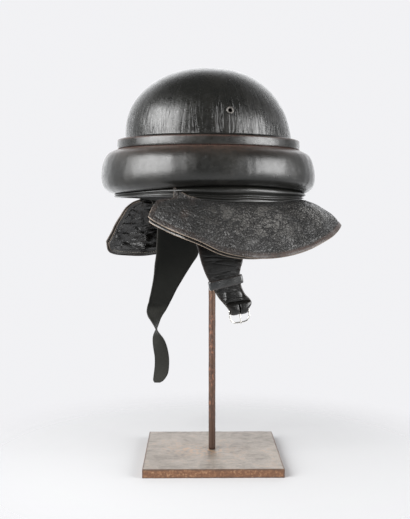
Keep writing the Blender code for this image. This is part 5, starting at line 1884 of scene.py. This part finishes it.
@dataclass
class Studio:
    """Camera at the photograph's angle, pale surroundings, a floor and two large soft lights."""

    distance: float = 1.1788
    eye: float = 0.3562
    azimuth: float = math.radians(-1.23)
    pan: float = math.radians(-0.49)
    tilt: float = math.radians(3.42)
    lens: float = 57.53
    backdrop: Colour = (0.885, 0.885, 0.905)
    daylight: Colour = (0.97, 0.98, 1.0)
    floor_tone: Colour = (0.52, 0.52, 0.525)
    floor_fade: tuple = (0.14, 0.46)
    target: tuple = (0.0, 0.0, 0.42)
    light_distance: float = 1.35
    lights: tuple = (
        ("left_softbox", -52.0, 18.0, (1.14, 1.20), 11.0),
        ("right_softbox", 66.0, 7.0, (0.85, 0.95), 10.0),
    )

    def camera(self) -> None:
        """Puts the camera where the photograph was taken from."""
        data = bpy.data.cameras.new("camera")
        data.lens, data.sensor_width, data.sensor_fit = self.lens, 36.0, "AUTO"
        data.clip_start, data.clip_end = 0.05, 50.0
        camera = bpy.data.objects.new("camera", data)
        camera.location = (math.sin(self.azimuth) * self.distance, -math.cos(self.azimuth) * self.distance, self.eye)
        camera.rotation_euler = (0.5 * math.pi - self.tilt, 0.0, self.azimuth - self.pan)
        bpy.context.scene.collection.objects.link(camera)
        bpy.context.scene.camera = camera

    def softbox(self, name: str, azimuth: float, rise: float, size: tuple[float, float], glow: float) -> None:
        """Hangs a soft light.

        Args:
            name: The light's name.
            azimuth: Degrees from the camera's side, positive to the right.
            rise: Degrees above the helmet.
            size: Width and height.
            glow: Radiance of its face.
        """
        data = bpy.data.lights.new(name, "AREA")
        data.shape, data.size, data.size_y = "RECTANGLE", size[0], size[1]
        data.energy = glow * math.pi * size[0] * size[1]
        light = bpy.data.objects.new(name, data)
        a, e = math.radians(azimuth), math.radians(rise)
        way = Vector((math.sin(a) * math.cos(e), -math.cos(a) * math.cos(e), math.sin(e)))
        light.location = Vector(self.target) + way * self.light_distance
        light.rotation_euler = (-way).to_track_quat("-Z", "Y").to_euler()
        bpy.context.scene.collection.objects.link(light)

    def surroundings(self) -> None:
        """Makes the pale surroundings: bright behind and above, dim on the camera's side."""
        world = bpy.data.worlds.new("surroundings")
        world.use_nodes = True
        bpy.context.scene.world = world
        tree = Tree(world.node_tree)
        across, away, up = tree.split(tree.add("ShaderNodeTexCoord", {}, {}, "Generated"))
        behind = away.ramp(-0.25, 0.55)
        below = up.ramp(0.93, 0.66)
        high = away.ramp(0.55, 0.85, 1.0, 2.0)
        right = across.ramp(0.25, 0.90, 1.0, 0.45)
        wall = behind * (below * right * high)
        under = up.ramp(-0.06, -0.42, 0.14, 0.80)
        fill = up.ramp(0.50, 0.12, 0.09, 0.20)
        glow = wall.at_least(fill.at_least(under))
        lit = tree.add("ShaderNodeBackground", {}, {"Color": self.daylight, "Strength": glow})
        seen = tree.add("ShaderNodeBackground", {}, {"Color": self.backdrop, "Strength": 1.0})
        from_camera = tree.add("ShaderNodeLightPath", {}, {}, "Is Camera Ray")
        tree.show(tree.add("ShaderNodeMixShader", {}, {0: from_camera, 1: lit, 2: seen}))

    def floor(self) -> None:
        """Lays a pale floor that fades into the backdrop away from the object."""
        mesh = bpy.data.meshes.new("floor")
        mesh.from_pydata([(-4, -4, 0), (4, -4, 0), (4, 4, 0), (-4, 4, 0)], [], [[0, 1, 2, 3]])
        floor = bpy.data.objects.new("floor", mesh)
        bpy.context.scene.collection.objects.link(floor)
        net = Net("pale_floor")
        reach = net.add("ShaderNodeVectorMath", {"operation": "LENGTH"}, {0: net.place()}, "Value")
        clear = net.add("ShaderNodeBsdfTransparent", {}, {})
        matte = net.add("ShaderNodeBsdfDiffuse", {}, {"Color": self.floor_tone})
        net.show(net.add("ShaderNodeMixShader", {}, {0: reach.step(*self.floor_fade), 1: matte, 2: clear}))
        mesh.materials.append(net.material)

    def build(self) -> None:
        """Sets up the camera, the lights and the floor."""
        self.camera()
        self.surroundings()
        self.floor()
        for light in self.lights:
            self.softbox(*light)
        bpy.context.scene.view_settings.view_transform = "Standard"


def report(pieces: list[bpy.types.Object]) -> None:
    """Logs each piece with its faces."""
    for piece in pieces:
        LOG.info("%s: %d faces", piece.name, len(piece.data.polygons))


def main() -> None:
    """Builds every sub-assembly in order."""
    logging.basicConfig(level=logging.INFO, format="%(message)s")
    Studio().build()
    flap, straps = Flap(), Straps()
    report(Crown().build())
    report(HeadRings().build(flap))
    report(flap.build())
    report(straps.build())
    report(Buckle(straps).build())
    report(Stand().build())


if __name__ == "__main__":
    main()
